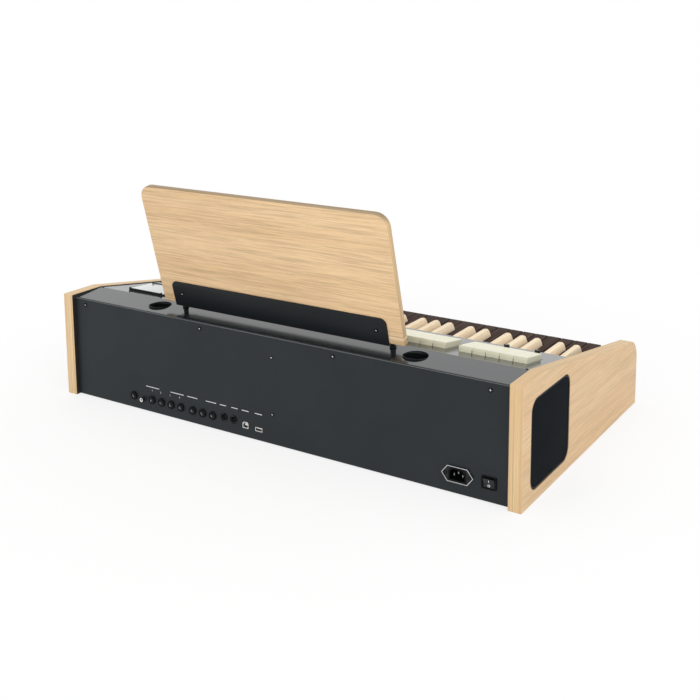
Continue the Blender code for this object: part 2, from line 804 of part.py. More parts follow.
def make_piston_group(name, group):
    """Five thumb pistons on their switch bar under the rail."""
    low = -RAIL_SHEET - PISTON_TRAVEL - PISTON_BAR_THICKNESS
    ends = [piston_x(group, 0) - PISTON_RADIUS, piston_x(group, PISTONS_IN_GROUP - 1) + PISTON_RADIUS]
    half = PISTON_BAR_WIDTH / 2
    bar = slope_prism(
        name,
        RAIL,
        rectangle(*ends, PISTON_V - half, PISTON_V + half),
        low,
        low + PISTON_BAR_THICKNESS,
    )
    caps = []
    for index in range(PISTONS_IN_GROUP):
        place = slope_axis(RAIL, piston_x(group, index), PISTON_V)
        caps.append(cylinder(f"{name}_{index}", PISTON_RADIUS, low + SLIVER, PISTON_HEIGHT, place))
    pistons = join(bar, caps)
    return finish(set_pivot(pistons, on_slope(RAIL, piston_x(group, 2), PISTON_V, 0)), "cream")


def make_keybed():
    """The board under the keys, with the ridge they rock on and the bar that stops them."""
    top = KEY_BOTTOM - KEYBED_DROP
    stop_u = KEY_FRONT_U - STOP_SETBACK
    stop_z = KEY_BOTTOM - (stop_u - PIVOT_U) * math.sin(KEY_ANGLE) - STOP_CLEARANCE
    outline = [
        (PIVOT_U - RIDGE_WIDTH / 2, top - KEYBED_THICKNESS),
        (PIVOT_U - RIDGE_WIDTH / 2, KEY_BOTTOM - FIT),
        (PIVOT_U + RIDGE_WIDTH / 2, KEY_BOTTOM - FIT),
        (PIVOT_U + RIDGE_WIDTH / 2, top),
        (stop_u - STOP_WIDTH, top),
        (stop_u - STOP_WIDTH, stop_z),
        (stop_u, stop_z),
        (stop_u, top),
        (KEY_FRONT_U - KEYBED_SETBACK, top),
        (KEY_FRONT_U - KEYBED_SETBACK, top - KEYBED_THICKNESS),
    ]
    return finish(side_prism("keybed", outline, -HALF_FIT, HALF_FIT), "raw_wood")


# Naturals of an octave as letter and the semitone of the tail, and sharps as letter and semitone
NATURALS = ("c", "d", "e", "f", "g", "a", "b")
SHARPS = {"c": 1, "d": 3, "f": 6, "g": 8, "a": 10}


def sharp_x(octave, letter):
    """The centre of a sharp: each group's semitones share its width evenly."""
    semitone = SHARPS[letter]
    start = FIRST_KEY_X + octave * OCTAVE
    if semitone < 5:
        return start + (semitone + 0.5) * 3 * NATURAL_PITCH / 5
    return start + 3 * NATURAL_PITCH + (semitone - 5 + 0.5) * 4 * NATURAL_PITCH / 7


def natural_points(octave, letter, rear_u, lone=False):
    """One natural's outline in (x, u), from its tail's left end round to its right end."""
    index = NATURALS.index(letter)
    left = FIRST_KEY_X + octave * OCTAVE + index * NATURAL_PITCH + KEY_GAP / 2
    right = left + NATURAL_PITCH - KEY_GAP
    step_u = SHARP_FRONT_U + KEY_GAP
    half = SHARP_WIDTH / 2 + KEY_GAP
    below = NATURALS[index - 1]
    points = []
    if not lone and index and below in SHARPS:
        tail = sharp_x(octave, below) + half
        points += [(tail, rear_u), (tail, step_u), (left, step_u)]
    else:
        points.append((left, rear_u))
    points += [(left, KEY_FRONT_U), (right, KEY_FRONT_U)]
    if not lone and letter in SHARPS:
        tail = sharp_x(octave, letter) - half
        points += [(right, step_u), (tail, step_u), (tail, rear_u)]
    else:
        points.append((right, rear_u))
    return points


def key_pivot(x):
    return point(x, PIVOT_U, KEY_BOTTOM)


def make_natural(name, octave, letter, lone=False):
    """A single natural that rocks on the ridge near its tail."""
    outline = natural_points(octave, letter, PIVOT_U - KEY_TAIL, lone)
    key = plan_prism(name, outline, KEY_BOTTOM, KEY_TOP)
    return finish(set_pivot(key, key_pivot(outline[0][0])), "dark_wood")


def make_natural_gang(name, octave):
    """An octave's naturals on the bar behind their tails."""
    slot_u = PIVOT_U - GANG_TAIL
    outline = []
    for letter in NATURALS:
        outline += natural_points(octave, letter, slot_u)
    outline += [(outline[-1][0], slot_u - GANG_BAR), (outline[0][0], slot_u - GANG_BAR)]
    gang = plan_prism(name, outline, KEY_BOTTOM, KEY_TOP)
    return finish(set_pivot(gang, key_pivot(outline[0][0])), "dark_wood")


def loft(name, sections):
    """A closed solid through plan outlines in (x, u), given as (z, outline) from low to high."""
    shape = bmesh.new()
    rings = [[shape.verts.new(point(x, u, z)) for x, u in outline] for z, outline in sections]
    for low, high in zip(rings, rings[1:]):
        for i in range(len(low)):
            shape.faces.new((low[i - 1], low[i], high[i], high[i - 1]))
    shape.faces.new(rings[0])
    shape.faces.new(rings[-1])
    bmesh.ops.recalc_face_normals(shape, faces=shape.faces)
    mesh = bpy.data.meshes.new(name)
    shape.to_mesh(mesh)
    shape.free()
    return make_object(name, mesh)


def sharp_solid(name, x):
    """A sharp whose sides lean in, with a clipped nose that slopes up to its top."""
    tail_u = PIVOT_U - KEY_TAIL
    edge = SHARP_EDGE * (SHARP_WIDTH - SHARP_TOP_WIDTH) / SHARP_HEIGHT
    sections = []
    for z, width, front in (
        (KEY_BOTTOM, SHARP_WIDTH, SHARP_FRONT_U),
        (KEY_TOP, SHARP_WIDTH, SHARP_FRONT_U),
        (SHARP_TOP - SHARP_EDGE, SHARP_TOP_WIDTH + edge, SHARP_FRONT_U - SHARP_SLOPE),
        (SHARP_TOP, SHARP_TOP_WIDTH - SHARP_EDGE, SHARP_FRONT_U - SHARP_SLOPE - SHARP_EDGE),
    ):
        half = width / 2
        inner = half - SHARP_NOSE_CLIP
        sections.append((z, [
            (x - half, tail_u),
            (x - half, front - SHARP_NOSE_CLIP),
            (x - inner, front),
            (x + inner, front),
            (x + half, front - SHARP_NOSE_CLIP),
            (x + half, tail_u),
        ]))
    return loft(name, sections)


def make_sharp(name, octave, letter):
    x = sharp_x(octave, letter)
    return finish(set_pivot(sharp_solid(name, x), key_pivot(x)), "pale_wood")


def make_sharp_gang(name, octave):
    """An octave's sharps on the bar that crosses above the naturals' tails."""
    xs = [sharp_x(octave, letter) for letter in SHARPS]
    start = PIVOT_U + SHARP_BAR_START
    bar = box(
        name,
        xs[0],
        xs[-1],
        start,
        start + SHARP_BAR_LENGTH,
        KEY_TOP + KEY_GAP,
        SHARP_TOP - SHARP_EDGE - KEY_GAP,
    )
    gang = join(bar, [sharp_solid(f"{name}_{i}", x) for i, x in enumerate(xs)])
    return finish(set_pivot(gang, key_pivot(xs[0])), "pale_wood")


def make_keys():
    for letter in NATURALS:
        make_natural(f"key_{letter}", 0, letter)
        if letter in SHARPS:
            make_sharp(f"key_{letter}_sharp", 0, letter)
    for octave in range(1, OCTAVES):
        make_natural_gang(f"octave_{octave + 1}_naturals", octave)
        make_sharp_gang(f"octave_{octave + 1}_sharps", octave)
    make_natural("key_top_c", OCTAVES, "c", lone=True)


def tab_profile():
    """A tab from the side in (v, h): a wedge above the panel and a shallow keel that rocks on the rail."""
    return [
        (TAB_REAR, -TAB_END_DEPTH),
        (TAB_REAR, TAB_REAR_HEIGHT),
        (TAB_REAR + TAB_LENGTH, TAB_FRONT_HEIGHT),
        (TAB_REAR + TAB_LENGTH, -TAB_END_DEPTH),
        (TAB_REAR + TAB_LENGTH / 2, -TAB_PIVOT_DEPTH),
    ]


def tab_solid(name, group, index):
    x = tab_group_x(group) + index * TAB_PITCH
    return slope_profile(name, PANEL, tab_profile(), x + TAB_GAP / 2, x + TAB_PITCH - TAB_GAP / 2)


def tab_pivot(group):
    x = tab_group_x(group) + TABS_IN_GROUP * TAB_PITCH / 2
    return on_slope(PANEL, x, TAB_REAR + TAB_LENGTH / 2, -TAB_PIVOT_DEPTH)


def make_tab_group(name, group):
    """Five tabs joined by a bar along their keels."""
    x = tab_group_x(group)
    middle = TAB_REAR + TAB_LENGTH / 2
    half = TAB_BAR_WIDTH / 2
    bar = slope_prism(
        name,
        PANEL,
        rectangle(x + TAB_GAP, x + TABS_IN_GROUP * TAB_PITCH - TAB_GAP, middle - half, middle + half),
        -TAB_BAR_DEPTH,
        -TAB_BAR_DEPTH / 2,
    )
    tabs = join(bar, [tab_solid(f"{name}_{i}", group, i) for i in range(TABS_IN_GROUP)])
    return finish(set_pivot(tabs, tab_pivot(group)), "cream")


def make_tabs():
    for index in range(TABS_IN_GROUP):
        tab = tab_solid(f"stop_tab_{index + 1}", 0, index)
        finish(set_pivot(tab, tab_pivot(0)), "cream")
    for group in range(1, TAB_GROUPS):
        make_tab_group(f"stop_tab_group_{group + 1}", group)


def make_tab_rail():
    """A channel under the panel with the ridge that the tabs rock on."""
    rear = TAB_REAR - TAB_SLOT_GAP - SHEET - FIT
    front = TAB_REAR + TAB_LENGTH + TAB_SLOT_GAP + SHEET + FIT
    middle = TAB_REAR + TAB_LENGTH / 2
    top = -SHEET - FIT
    floor = -TAB_RAIL_DEPTH + SHEET
    ridge = -TAB_PIVOT_DEPTH - FIT
    half = TAB_RAIL_WIDTH / 2
    outline = [
        (rear, -TAB_RAIL_DEPTH),
        (rear, top),
        (rear + SHEET, top),
        (rear + SHEET, floor),
        (middle - half, floor),
        (middle - half, ridge),
        (middle + half, ridge),
        (middle + half, floor),
        (front - SHEET, floor),
        (front - SHEET, top),
        (front, top),
        (front, -TAB_RAIL_DEPTH),
    ]
    end = tab_group_x(TAB_GROUPS - 1) + TABS_IN_GROUP * TAB_PITCH + TAB_SLOT_GAP
    return finish(
        slope_profile("tab_rail", PANEL, outline, TAB_FIRST_X - TAB_SLOT_GAP, end), "bare_steel"
    )


def display_outline(inset):
    return rectangle(
        DISPLAY_X - DISPLAY_WIDTH / 2 + inset,
        DISPLAY_X + DISPLAY_WIDTH / 2 - inset,
        DISPLAY_REAR + inset,
        DISPLAY_REAR + DISPLAY_LENGTH - inset,
        DISPLAY_RADIUS,
    )


def make_display():
    """The display: a frame on the panel and its body through the window."""
    frame = slope_prism("display", PANEL, display_outline(0), FIT, DISPLAY_HEIGHT)
    body = slope_prism(
        "display_body", PANEL, display_outline(DISPLAY_BODY_INSET), -DISPLAY_BODY_DEPTH, 2 * FIT
    )
    return finish(join(frame, [body]), "gloss_black")


def make_knob(name, x):
    """A knob with its shaft through the panel."""
    profile = [
        (0, KNOB_HEIGHT),
        (KNOB_TOP_RADIUS, KNOB_HEIGHT),
        (KNOB_SHOULDER_RADIUS, KNOB_HEIGHT - KNOB_SHOULDER),
        (KNOB_RADIUS, FIT),
        (KNOB_SHAFT_RADIUS, FIT),
        (KNOB_SHAFT_RADIUS, -KNOB_SHAFT_DEPTH),
        (0, -KNOB_SHAFT_DEPTH),
    ]
    return finish(turned(name, profile, slope_axis(PANEL, x, KNOB_V)), "black_plastic")


DESK = Matrix.Translation(point(0, DESK_U, DESK_Z)) @ Matrix.Rotation(-DESK_TILT, 4, "X")
DESK_FACE = DESK @ BACK


def make_desk_board():
    half = DESK_WIDTH / 2
    outline = rounded([
        (-half, LEDGE_THICKNESS + FIT),
        (half, LEDGE_THICKNESS + FIT),
        (half, DESK_HEIGHT, DESK_CORNER),
        (-half, DESK_HEIGHT, DESK_CORNER),
    ])
    place = DESK_FACE @ Matrix.Translation((0, 0, DESK_THICKNESS / 2))
    return finish(prism("desk_board", outline, DESK_THICKNESS, place), "oak")


def make_desk_ledge():
    """The bottom piece of the desk, with the shelf that holds the music."""
    half = DESK_WIDTH / 2
    shelf = half - LEDGE_INSET
    reach = DESK_THICKNESS + LEDGE_REACH
    outline = rounded([
        (-half, 0),
        (half, 0),
        (half, DESK_THICKNESS),
        (shelf, DESK_THICKNESS),
        (shelf, reach, LEDGE_CORNER),
        (-shelf, reach, LEDGE_CORNER),
        (-shelf, DESK_THICKNESS),
        (-half, DESK_THICKNESS),
    ])
    place = DESK @ PLAN @ Matrix.Translation((0, 0, -LEDGE_THICKNESS / 2))
    return finish(prism("desk_ledge", outline, LEDGE_THICKNESS, place), "oak")


def make_desk_bracket():
    """The plate on the desk's rear face, its shelf under the ledge and the two pins."""
    half = BRACKET_WIDTH / 2
    outline = rounded([
        (-half, -BRACKET_DROP),
        (half, -BRACKET_DROP),
        (half, BRACKET_TOP, BRACKET_CORNER),
        (-half, BRACKET_TOP, BRACKET_CORNER),
    ])
    behind = DESK_FACE @ Matrix.Translation((0, 0, -BRACKET_SHEET / 2 - FIT))
    plate = prism("desk_bracket", outline, BRACKET_SHEET, behind)
    below = DESK @ PLAN @ Matrix.Translation((0, 0, BRACKET_SHEET / 2 + FIT))
    shelf_outline = rectangle(-half, half, -BRACKET_SHEET / 2, BRACKET_SHELF)
    shelf = prism("desk_bracket_shelf", shelf_outline, BRACKET_SHEET, below)
    collar_low = KNEE_Z - (KNEE_U - pin_u() - PIN_COLLAR) * math.tan(COVER_TILT) + FIT
    pieces = []
    for side in (-1, 1):
        place = Matrix.Translation(point(side * PIN_X, pin_u(), 0))
        top = DESK_Z + LEDGE_THICKNESS / 2
        pieces.append(cylinder(f"pin_collar_{side}", PIN_COLLAR, collar_low, top, place))
        pieces.append(cylinder(f"pin_{side}", PIN_RADIUS, collar_low - PIN_DEPTH, top, place))
    pegs = join(pieces[0], pieces[1:])
    over = below @ Matrix.Translation((0, 0, -LEDGE_THICKNESS))
    cover = rectangle(-DESK_WIDTH / 2, DESK_WIDTH / 2, -BRACKET_SHELF, BRACKET_SHELF)
    trim = prism("above_shelf", cover, 2 * LEDGE_THICKNESS, over)
    combine(pegs, [trim], "DIFFERENCE")
    return finish(join(plate, [shelf, pegs]), "black_steel")


def make_socket_board():
    """The board behind the rear panel with every jack and signal socket on it."""
    xs = [PHONES_X + BOARD_MARGIN, USB_A_X - BOARD_MARGIN]
    inner = PANEL_INNER_U + FIT
    board = box(
        "socket_board", xs[1], xs[0], BOARD_U, BOARD_U + BOARD_THICKNESS, BOARD_BOTTOM, BOARD_TOP
    )
    half = JACK_BODY / 2
    add = []
    remove = []
    for i, x in enumerate(all_jacks()):
        body = (x - half, x + half, inner, BOARD_U + SLIVER / 2, JACK_Z - half, JACK_Z + half)
        add.append(box(f"jack_{i}", *body))
        place = rearward(x, JACK_Z)
        add.append(cylinder(f"barrel_{i}", JACK_BARREL, -inner - SLIVER, JACK_PROUD - REAR_RECESS, place))
        nut = -REAR_RECESS + FIT
        add.append(cylinder(f"nut_{i}", JACK_NUT, nut, nut + JACK_NUT_THICKNESS, place))
        remove.append(cylinder(f"bore_{i}", JACK_BORE, SLIVER - BOARD_U, 0, place))
    for i, x in enumerate(round_sockets()):
        place = rearward(x, ROUND_Z)
        face = SOCKET_PROUD - REAR_RECESS
        add.append(cylinder(f"round_{i}", ROUND_RADIUS, -BOARD_U - SLIVER / 2, face, place))
        remove.append(cylinder(f"round_bore_{i}", ROUND_BORE, face - ROUND_DEPTH, 0, place))
    phono = rearward(PHONO_X, PHONO_Z)
    face = PHONO_PROUD - REAR_RECESS
    add.append(cylinder("phono", PHONO_RADIUS, -BOARD_U - SLIVER / 2, face, phono))
    remove.append(cylinder("phono_bore", PHONO_BORE, face - ROUND_DEPTH, 0, phono, 12))
    face_u = REAR_RECESS - SOCKET_PROUD
    for name, x, z, size, mouth in (
        ("usb_b", USB_B_X, USB_B_Z, USB_B_SIZE, USB_B_MOUTH),
        ("usb_a", USB_A_X, USB_A_Z, USB_A_SIZE, USB_A_MOUTH),
    ):
        add.append(back_prism(name, centred(x, z, size), face_u, BOARD_U + SLIVER / 2))
        hollow = centred(x, z, mouth)
        remove.append(back_prism(f"{name}_mouth", hollow, face_u - SLIVER, face_u + USB_DEPTH))
    join(board, add)
    combine(board, remove, "DIFFERENCE")
    return finish(board, "black_plastic")


def make_mains_inlet():
    """A three-pin inlet with a flange that ends in two points."""
    tip, flat, rise = INLET_WIDTH / 2, INLET_FLAT / 2, INLET_HEIGHT / 2
    outline = [
        (INLET_X + a, INLET_Z + b)
        for a, b in ((-tip, 0), (-flat, -rise), (flat, -rise), (tip, 0), (flat, rise), (-flat, rise))
    ]
    front = REAR_RECESS - FIT - INLET_FLANGE
    inlet = back_prism("mains_inlet", outline, front, REAR_RECESS - FIT)
    rear = front + INLET_DEPTH + INLET_BACK
    body = back_prism("inlet_body", centred(INLET_X, INLET_Z, INLET_BODY), front + SLIVER, rear)
    half, height = INLET_MOUTH[0] / 2, INLET_MOUTH[1] / 2
    mouth_outline = [
        (INLET_X + a, INLET_Z + b)
        for a, b in (
            (-half, -height),
            (half, -height),
            (half, height - INLET_CHAMFER),
            (half - INLET_CHAMFER, height),
            (INLET_CHAMFER - half, height),
            (-half, height - INLET_CHAMFER),
        )
    ]
    mouth = back_prism("inlet_mouth", mouth_outline, front - SLIVER, front + INLET_DEPTH)
    join(inlet, [body])
    combine(inlet, [mouth], "DIFFERENCE")
    pins = []
    for k in (-1, 0, 1):
        x = INLET_X + k * INLET_PIN_PITCH
        z = INLET_Z + (INLET_PIN_RAISE if k == 0 else -INLET_PIN_RAISE)
        start = front + INLET_DEPTH - INLET_PIN_LENGTH
        pins.append(back_prism(f"inlet_pin_{k}", centred(x, z, INLET_PIN), start, rear - SLIVER))
    return finish(join(inlet, pins), "black_plastic")


def make_switch():
    """The power switch's frame, and its rocker tipped to the off side."""
    front = REAR_RECESS - FIT - SWITCH_FLANGE
    frame = back_prism(
        "power_switch_frame", centred(SWITCH_X, SWITCH_Z, SWITCH_SIZE), front, REAR_RECESS - FIT
    )
    rear = front + SWITCH_DEPTH + SWITCH_BACK
    body = back_prism("switch_body", centred(SWITCH_X, SWITCH_Z, SWITCH_BODY), front + SLIVER / 2, rear)
    mouth = back_prism(
        "switch_mouth", centred(SWITCH_X, SWITCH_Z, SWITCH_MOUTH), front - SLIVER, front + SWITCH_DEPTH
    )
    join(frame, [body])
    combine(frame, [mouth], "DIFFERENCE")
    finish(frame, "black_plastic")
    tip = ROCKER_RISE + ROCKER_HALF * math.tan(ROCKER_TILT)
    outline = [
        (-ROCKER_RISE, 0),
        (-tip, ROCKER_HALF),
        (-ROCKER_SHOULDER, ROCKER_HALF),
        (ROCKER_KEEL, ROCKER_KEEL_HALF),
        (ROCKER_KEEL, -ROCKER_KEEL_HALF),
        (-ROCKER_SHOULDER, -ROCKER_HALF),
        (-tip, -ROCKER_HALF),
    ]
    width = SWITCH_MOUTH[0] - 2 * FIT
    pivot = point(SWITCH_X, REAR_RECESS + ROCKER_SINK, SWITCH_Z)
    tipped = Matrix.Translation(pivot) @ Matrix.Rotation(-ROCKER_TILT, 4, "X") @ SIDE
    rocker = prism("power_rocker", outline, width, tipped)
    return finish(set_pivot(rocker, pivot), "black_plastic")


def make_main_board():
    """The main board on four standoffs, with a row of chips."""
    length, width = MAIN_BOARD
    left, right = MAIN_BOARD_X - length / 2, MAIN_BOARD_X + length / 2
    rear, front = MAIN_BOARD_U - width / 2, MAIN_BOARD_U + width / 2
    low = BASE_TOP + FIT + STANDOFF_HEIGHT
    high = low + BOARD_THICKNESS
    board = box("main_board", left, right, rear, front, low, high)
    add = []
    for x in (left + 2 * STANDOFF_RADIUS, right - 2 * STANDOFF_RADIUS):
        for u in (rear + 2 * STANDOFF_RADIUS, front - 2 * STANDOFF_RADIUS):
            place = Matrix.Translation(point(x, u, 0))
            add.append(cylinder("standoff", STANDOFF_RADIUS, BASE_TOP + FIT, low + SLIVER / 2, place, 12))
    for k in (-1, 0, 1):
        x = MAIN_BOARD_X + k * CHIP_SPACING
        add.append(
            box(
                "chip",
                x - CHIP[0] / 2,
                x + CHIP[0] / 2,
                MAIN_BOARD_U - CHIP[1] / 2,
                MAIN_BOARD_U + CHIP[1] / 2,
                high - SLIVER / 2,
                high + CHIP[2],
            )
        )
    return finish(join(board, add), "board_green")


def make_power_supply():
    low = BASE_TOP + FIT
    supply = box(
        "power_supply",
        SUPPLY_X - SUPPLY_LENGTH / 2,
        SUPPLY_X + SUPPLY_LENGTH / 2,
        SUPPLY_U - SUPPLY_WIDTH / 2,
        SUPPLY_U + SUPPLY_WIDTH / 2,
        low,
        low + SUPPLY_HEIGHT,
    )
    return finish(soften(supply, SUPPLY_EDGE, 1), "bare_steel")


def make_amplifier():
    """The amplifier's finned heat sink, which carries its board."""
    left = SINK_X - SINK_LENGTH / 2
    low = BASE_TOP + FIT
    base = low + SINK_BASE
    top = base + SINK_FIN_HEIGHT
    pitch = (SINK_LENGTH - SINK_FIN) / (SINK_FINS - 1)
    outline = [(left, low)]
    for k in range(SINK_FINS):
        x = left + k * pitch
        outline += [(x, base), (x, top), (x + SINK_FIN, top), (x + SINK_FIN, base)]
    outline = [outline[0], *outline[2:-1], (left + SINK_LENGTH, low)]
    sink = back_prism("amplifier", outline, SINK_U - SINK_WIDTH / 2, SINK_U + SINK_WIDTH / 2)
    return finish(sink, "aluminium")


def build():
    for side, sign in (("left", -1), ("right", 1)):
        make_cheek(f"{side}_cheek", sign)
        make_grille(f"{side}_speaker_grille", sign)
        make_speaker(f"{side}_speaker", sign)
        make_port_tube(f"{side}_port_tube", sign * PORT_X)
        make_piston_group(f"{side}_piston_group", (sign + 1) // 2)
    make_rear_panel()
    make_top_cover()
    make_base_panel()
    make_front_rail()
    make_keybed()
    make_keys()
    make_tab_rail()
    make_tabs()
    make_display()
    for name, x in zip(("outer_knob", "inner_knob"), KNOB_XS):
        make_knob(name, x)
    make_desk_board()
    make_desk_ledge()
    make_desk_bracket()
    make_socket_board()
    make_mains_inlet()
    make_switch()
    make_main_board()
    make_power_supply()
    make_amplifier()


build()
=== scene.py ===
import json
import math

import bmesh
import bpy
from mathutils import Matrix, Vector

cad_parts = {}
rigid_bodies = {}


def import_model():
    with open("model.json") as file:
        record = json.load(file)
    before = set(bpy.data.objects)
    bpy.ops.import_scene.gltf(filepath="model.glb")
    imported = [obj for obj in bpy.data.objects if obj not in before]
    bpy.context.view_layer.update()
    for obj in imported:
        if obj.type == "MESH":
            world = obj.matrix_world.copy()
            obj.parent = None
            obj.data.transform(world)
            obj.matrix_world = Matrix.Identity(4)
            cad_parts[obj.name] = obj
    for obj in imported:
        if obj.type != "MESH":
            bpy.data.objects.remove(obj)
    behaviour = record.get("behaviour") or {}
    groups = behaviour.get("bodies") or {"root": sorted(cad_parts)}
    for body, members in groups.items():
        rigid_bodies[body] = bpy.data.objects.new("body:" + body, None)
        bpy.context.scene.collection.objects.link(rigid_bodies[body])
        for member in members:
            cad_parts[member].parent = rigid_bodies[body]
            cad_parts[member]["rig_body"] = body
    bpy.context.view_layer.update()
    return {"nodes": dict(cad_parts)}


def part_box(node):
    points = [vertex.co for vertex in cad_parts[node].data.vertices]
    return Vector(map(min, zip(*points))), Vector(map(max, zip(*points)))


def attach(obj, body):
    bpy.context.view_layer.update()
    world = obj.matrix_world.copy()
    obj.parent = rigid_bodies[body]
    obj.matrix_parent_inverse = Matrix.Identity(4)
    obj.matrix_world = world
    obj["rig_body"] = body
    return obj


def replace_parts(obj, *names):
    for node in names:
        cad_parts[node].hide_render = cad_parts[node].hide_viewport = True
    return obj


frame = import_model()
NODES = frame["nodes"]

# The case's own lines: u runs forward from the cheeks' rear edge
REAR_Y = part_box("left_cheek")[1].y
HALF_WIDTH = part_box("right_cheek")[1].x
HALF_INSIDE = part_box("right_cheek")[0].x
REAR_RECESS = REAR_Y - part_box("rear_panel")[1].y
SLOPE = math.radians(9.7)
KNEE_U = 0.0715
KNEE_Z = 0.1865
DESK_U = 0.0388
DESK_Z = 0.1974
DESK_TILT = math.radians(14.8)
FIT = 0.0003
ACROSS = Vector((1, 0, 0))
UP = Vector((0, 0, 1))


def point(x, u, z):
    return Vector((x, REAR_Y - u, z))


def frame_at(origin, first, second):
    """A frame with its first two axes as given; the third points out of the surface."""
    return Matrix.Translation(origin) @ Matrix((first, second, first.cross(second))).transposed().to_4x4()


def rear(x, z, out=0.0):
    """A place on the rear panel as seen from behind: across, up, and out to the rear."""
    return frame_at(point(x, REAR_RECESS - out, z), -ACROSS, UP)


def panel(x, v, h=0.0):
    """A place on the control panel, v forward of the knee: across, up the slope, and out."""
    forward = Vector((0, -math.cos(SLOPE), -math.sin(SLOPE)))
    out = Vector((0, -math.sin(SLOPE), math.cos(SLOPE)))
    return frame_at(point(x, KNEE_U, KNEE_Z) + v * forward + h * out, ACROSS, -forward)


def desk_back(x, w, out=0.0):
    """A place on the desk's rear face, w above its lower edge: across, up, and out to the rear."""
    up = Vector((0, math.sin(DESK_TILT), math.cos(DESK_TILT)))
    rearward = Vector((0, math.cos(DESK_TILT), -math.sin(DESK_TILT)))
    return frame_at(point(x, DESK_U, DESK_Z) + w * up + out * rearward, -ACROSS, up)


def cheek_side(side, u, z, out=0.0):
    """A place on a cheek's outer face: along it, up, and out."""
    along = Vector((0, side, 0))
    return frame_at(Vector((side * (HALF_WIDTH + out), REAR_Y - u, z)), along, UP)


# Materials

def new_material(name):
    material = bpy.data.materials.new(name)
    material.use_nodes = True
    tree = material.node_tree
    return material, tree, tree.nodes["Principled BSDF"]


def node(tree, kind, **values):
    """A node with its properties set, and its inputs set or linked by name or place."""
    made = tree.nodes.new(kind)
    for key, value in values.items():
        if key.startswith("in_"):
            key = key[3:].replace("_", " ")
            slot = made.inputs[int(key)] if key.isdigit() else made.inputs[key]
            if isinstance(value, bpy.types.NodeSocket):
                tree.links.new(value, slot)
            else:
                slot.default_value = value
        else:
            setattr(made, key, value)
    return made


def maths(tree, operation, a, b=0.0):
    return node(tree, "ShaderNodeMath", operation=operation, in_0=a, in_1=b).outputs[0]


def coordinates(tree, scale, tilt=0.0):
    """Object coordinates, turned about x by the tilt and scaled on each axis."""
    source = node(tree, "ShaderNodeTexCoord").outputs["Object"]
    turned = node(tree, "ShaderNodeVectorRotate", rotation_type="X_AXIS", in_Vector=source, in_Angle=tilt)
    return node(tree, "ShaderNodeVectorMath", operation="MULTIPLY", in_0=turned.outputs[0], in_1=scale).outputs[0]


def noise(tree, vector, detail=2.0, roughness=0.5, distortion=0.0):
    made = node(
        tree, "ShaderNodeTexNoise", in_Vector=vector, in_Scale=1.0, in_Detail=detail,
        in_Roughness=roughness, in_Distortion=distortion,
    )
    return made.outputs["Fac"]


def ramp(tree, value, *stops):
    """Colours along a value; a stop is (place, colour)."""
    made = node(tree, "ShaderNodeValToRGB", in_0=value)
    points = made.color_ramp.elements
    while len(points) < len(stops):
        points.new(0.5)
    for element, (place, colour) in zip(points, stops):
        element.position = place
        element.color = (*colour, 1)
    return made.outputs["Color"]


def grey(value):
    return (value, value, value)


def blend_colours(tree, factor, a, b, mode="MIX"):
    made = node(tree, "ShaderNodeMix", data_type="RGBA", blend_type=mode)
    for slot, value in ((made.inputs[0], factor), (made.inputs[6], a), (made.inputs[7], b)):
        if isinstance(value, bpy.types.NodeSocket):
            tree.links.new(value, slot)
        elif isinstance(value, tuple):
            slot.default_value = (*value, 1)
        else:
            slot.default_value = value
    return made.outputs[2]


def bump(tree, shader, height, strength, distance):
    made = node(tree, "ShaderNodeBump", in_Height=height, in_Strength=strength, in_Distance=distance)
    tree.links.new(made.outputs[0], shader.inputs["Normal"])


def stretched(axes, along, thick, across):
    """A scale vector whose three axes stand for along the grain, through the board and across it."""
    scale = [0.0, 0.0, 0.0]
    for axis, value in zip(axes, (along, thick, across)):
        scale[axis] = value
    return tuple(scale)


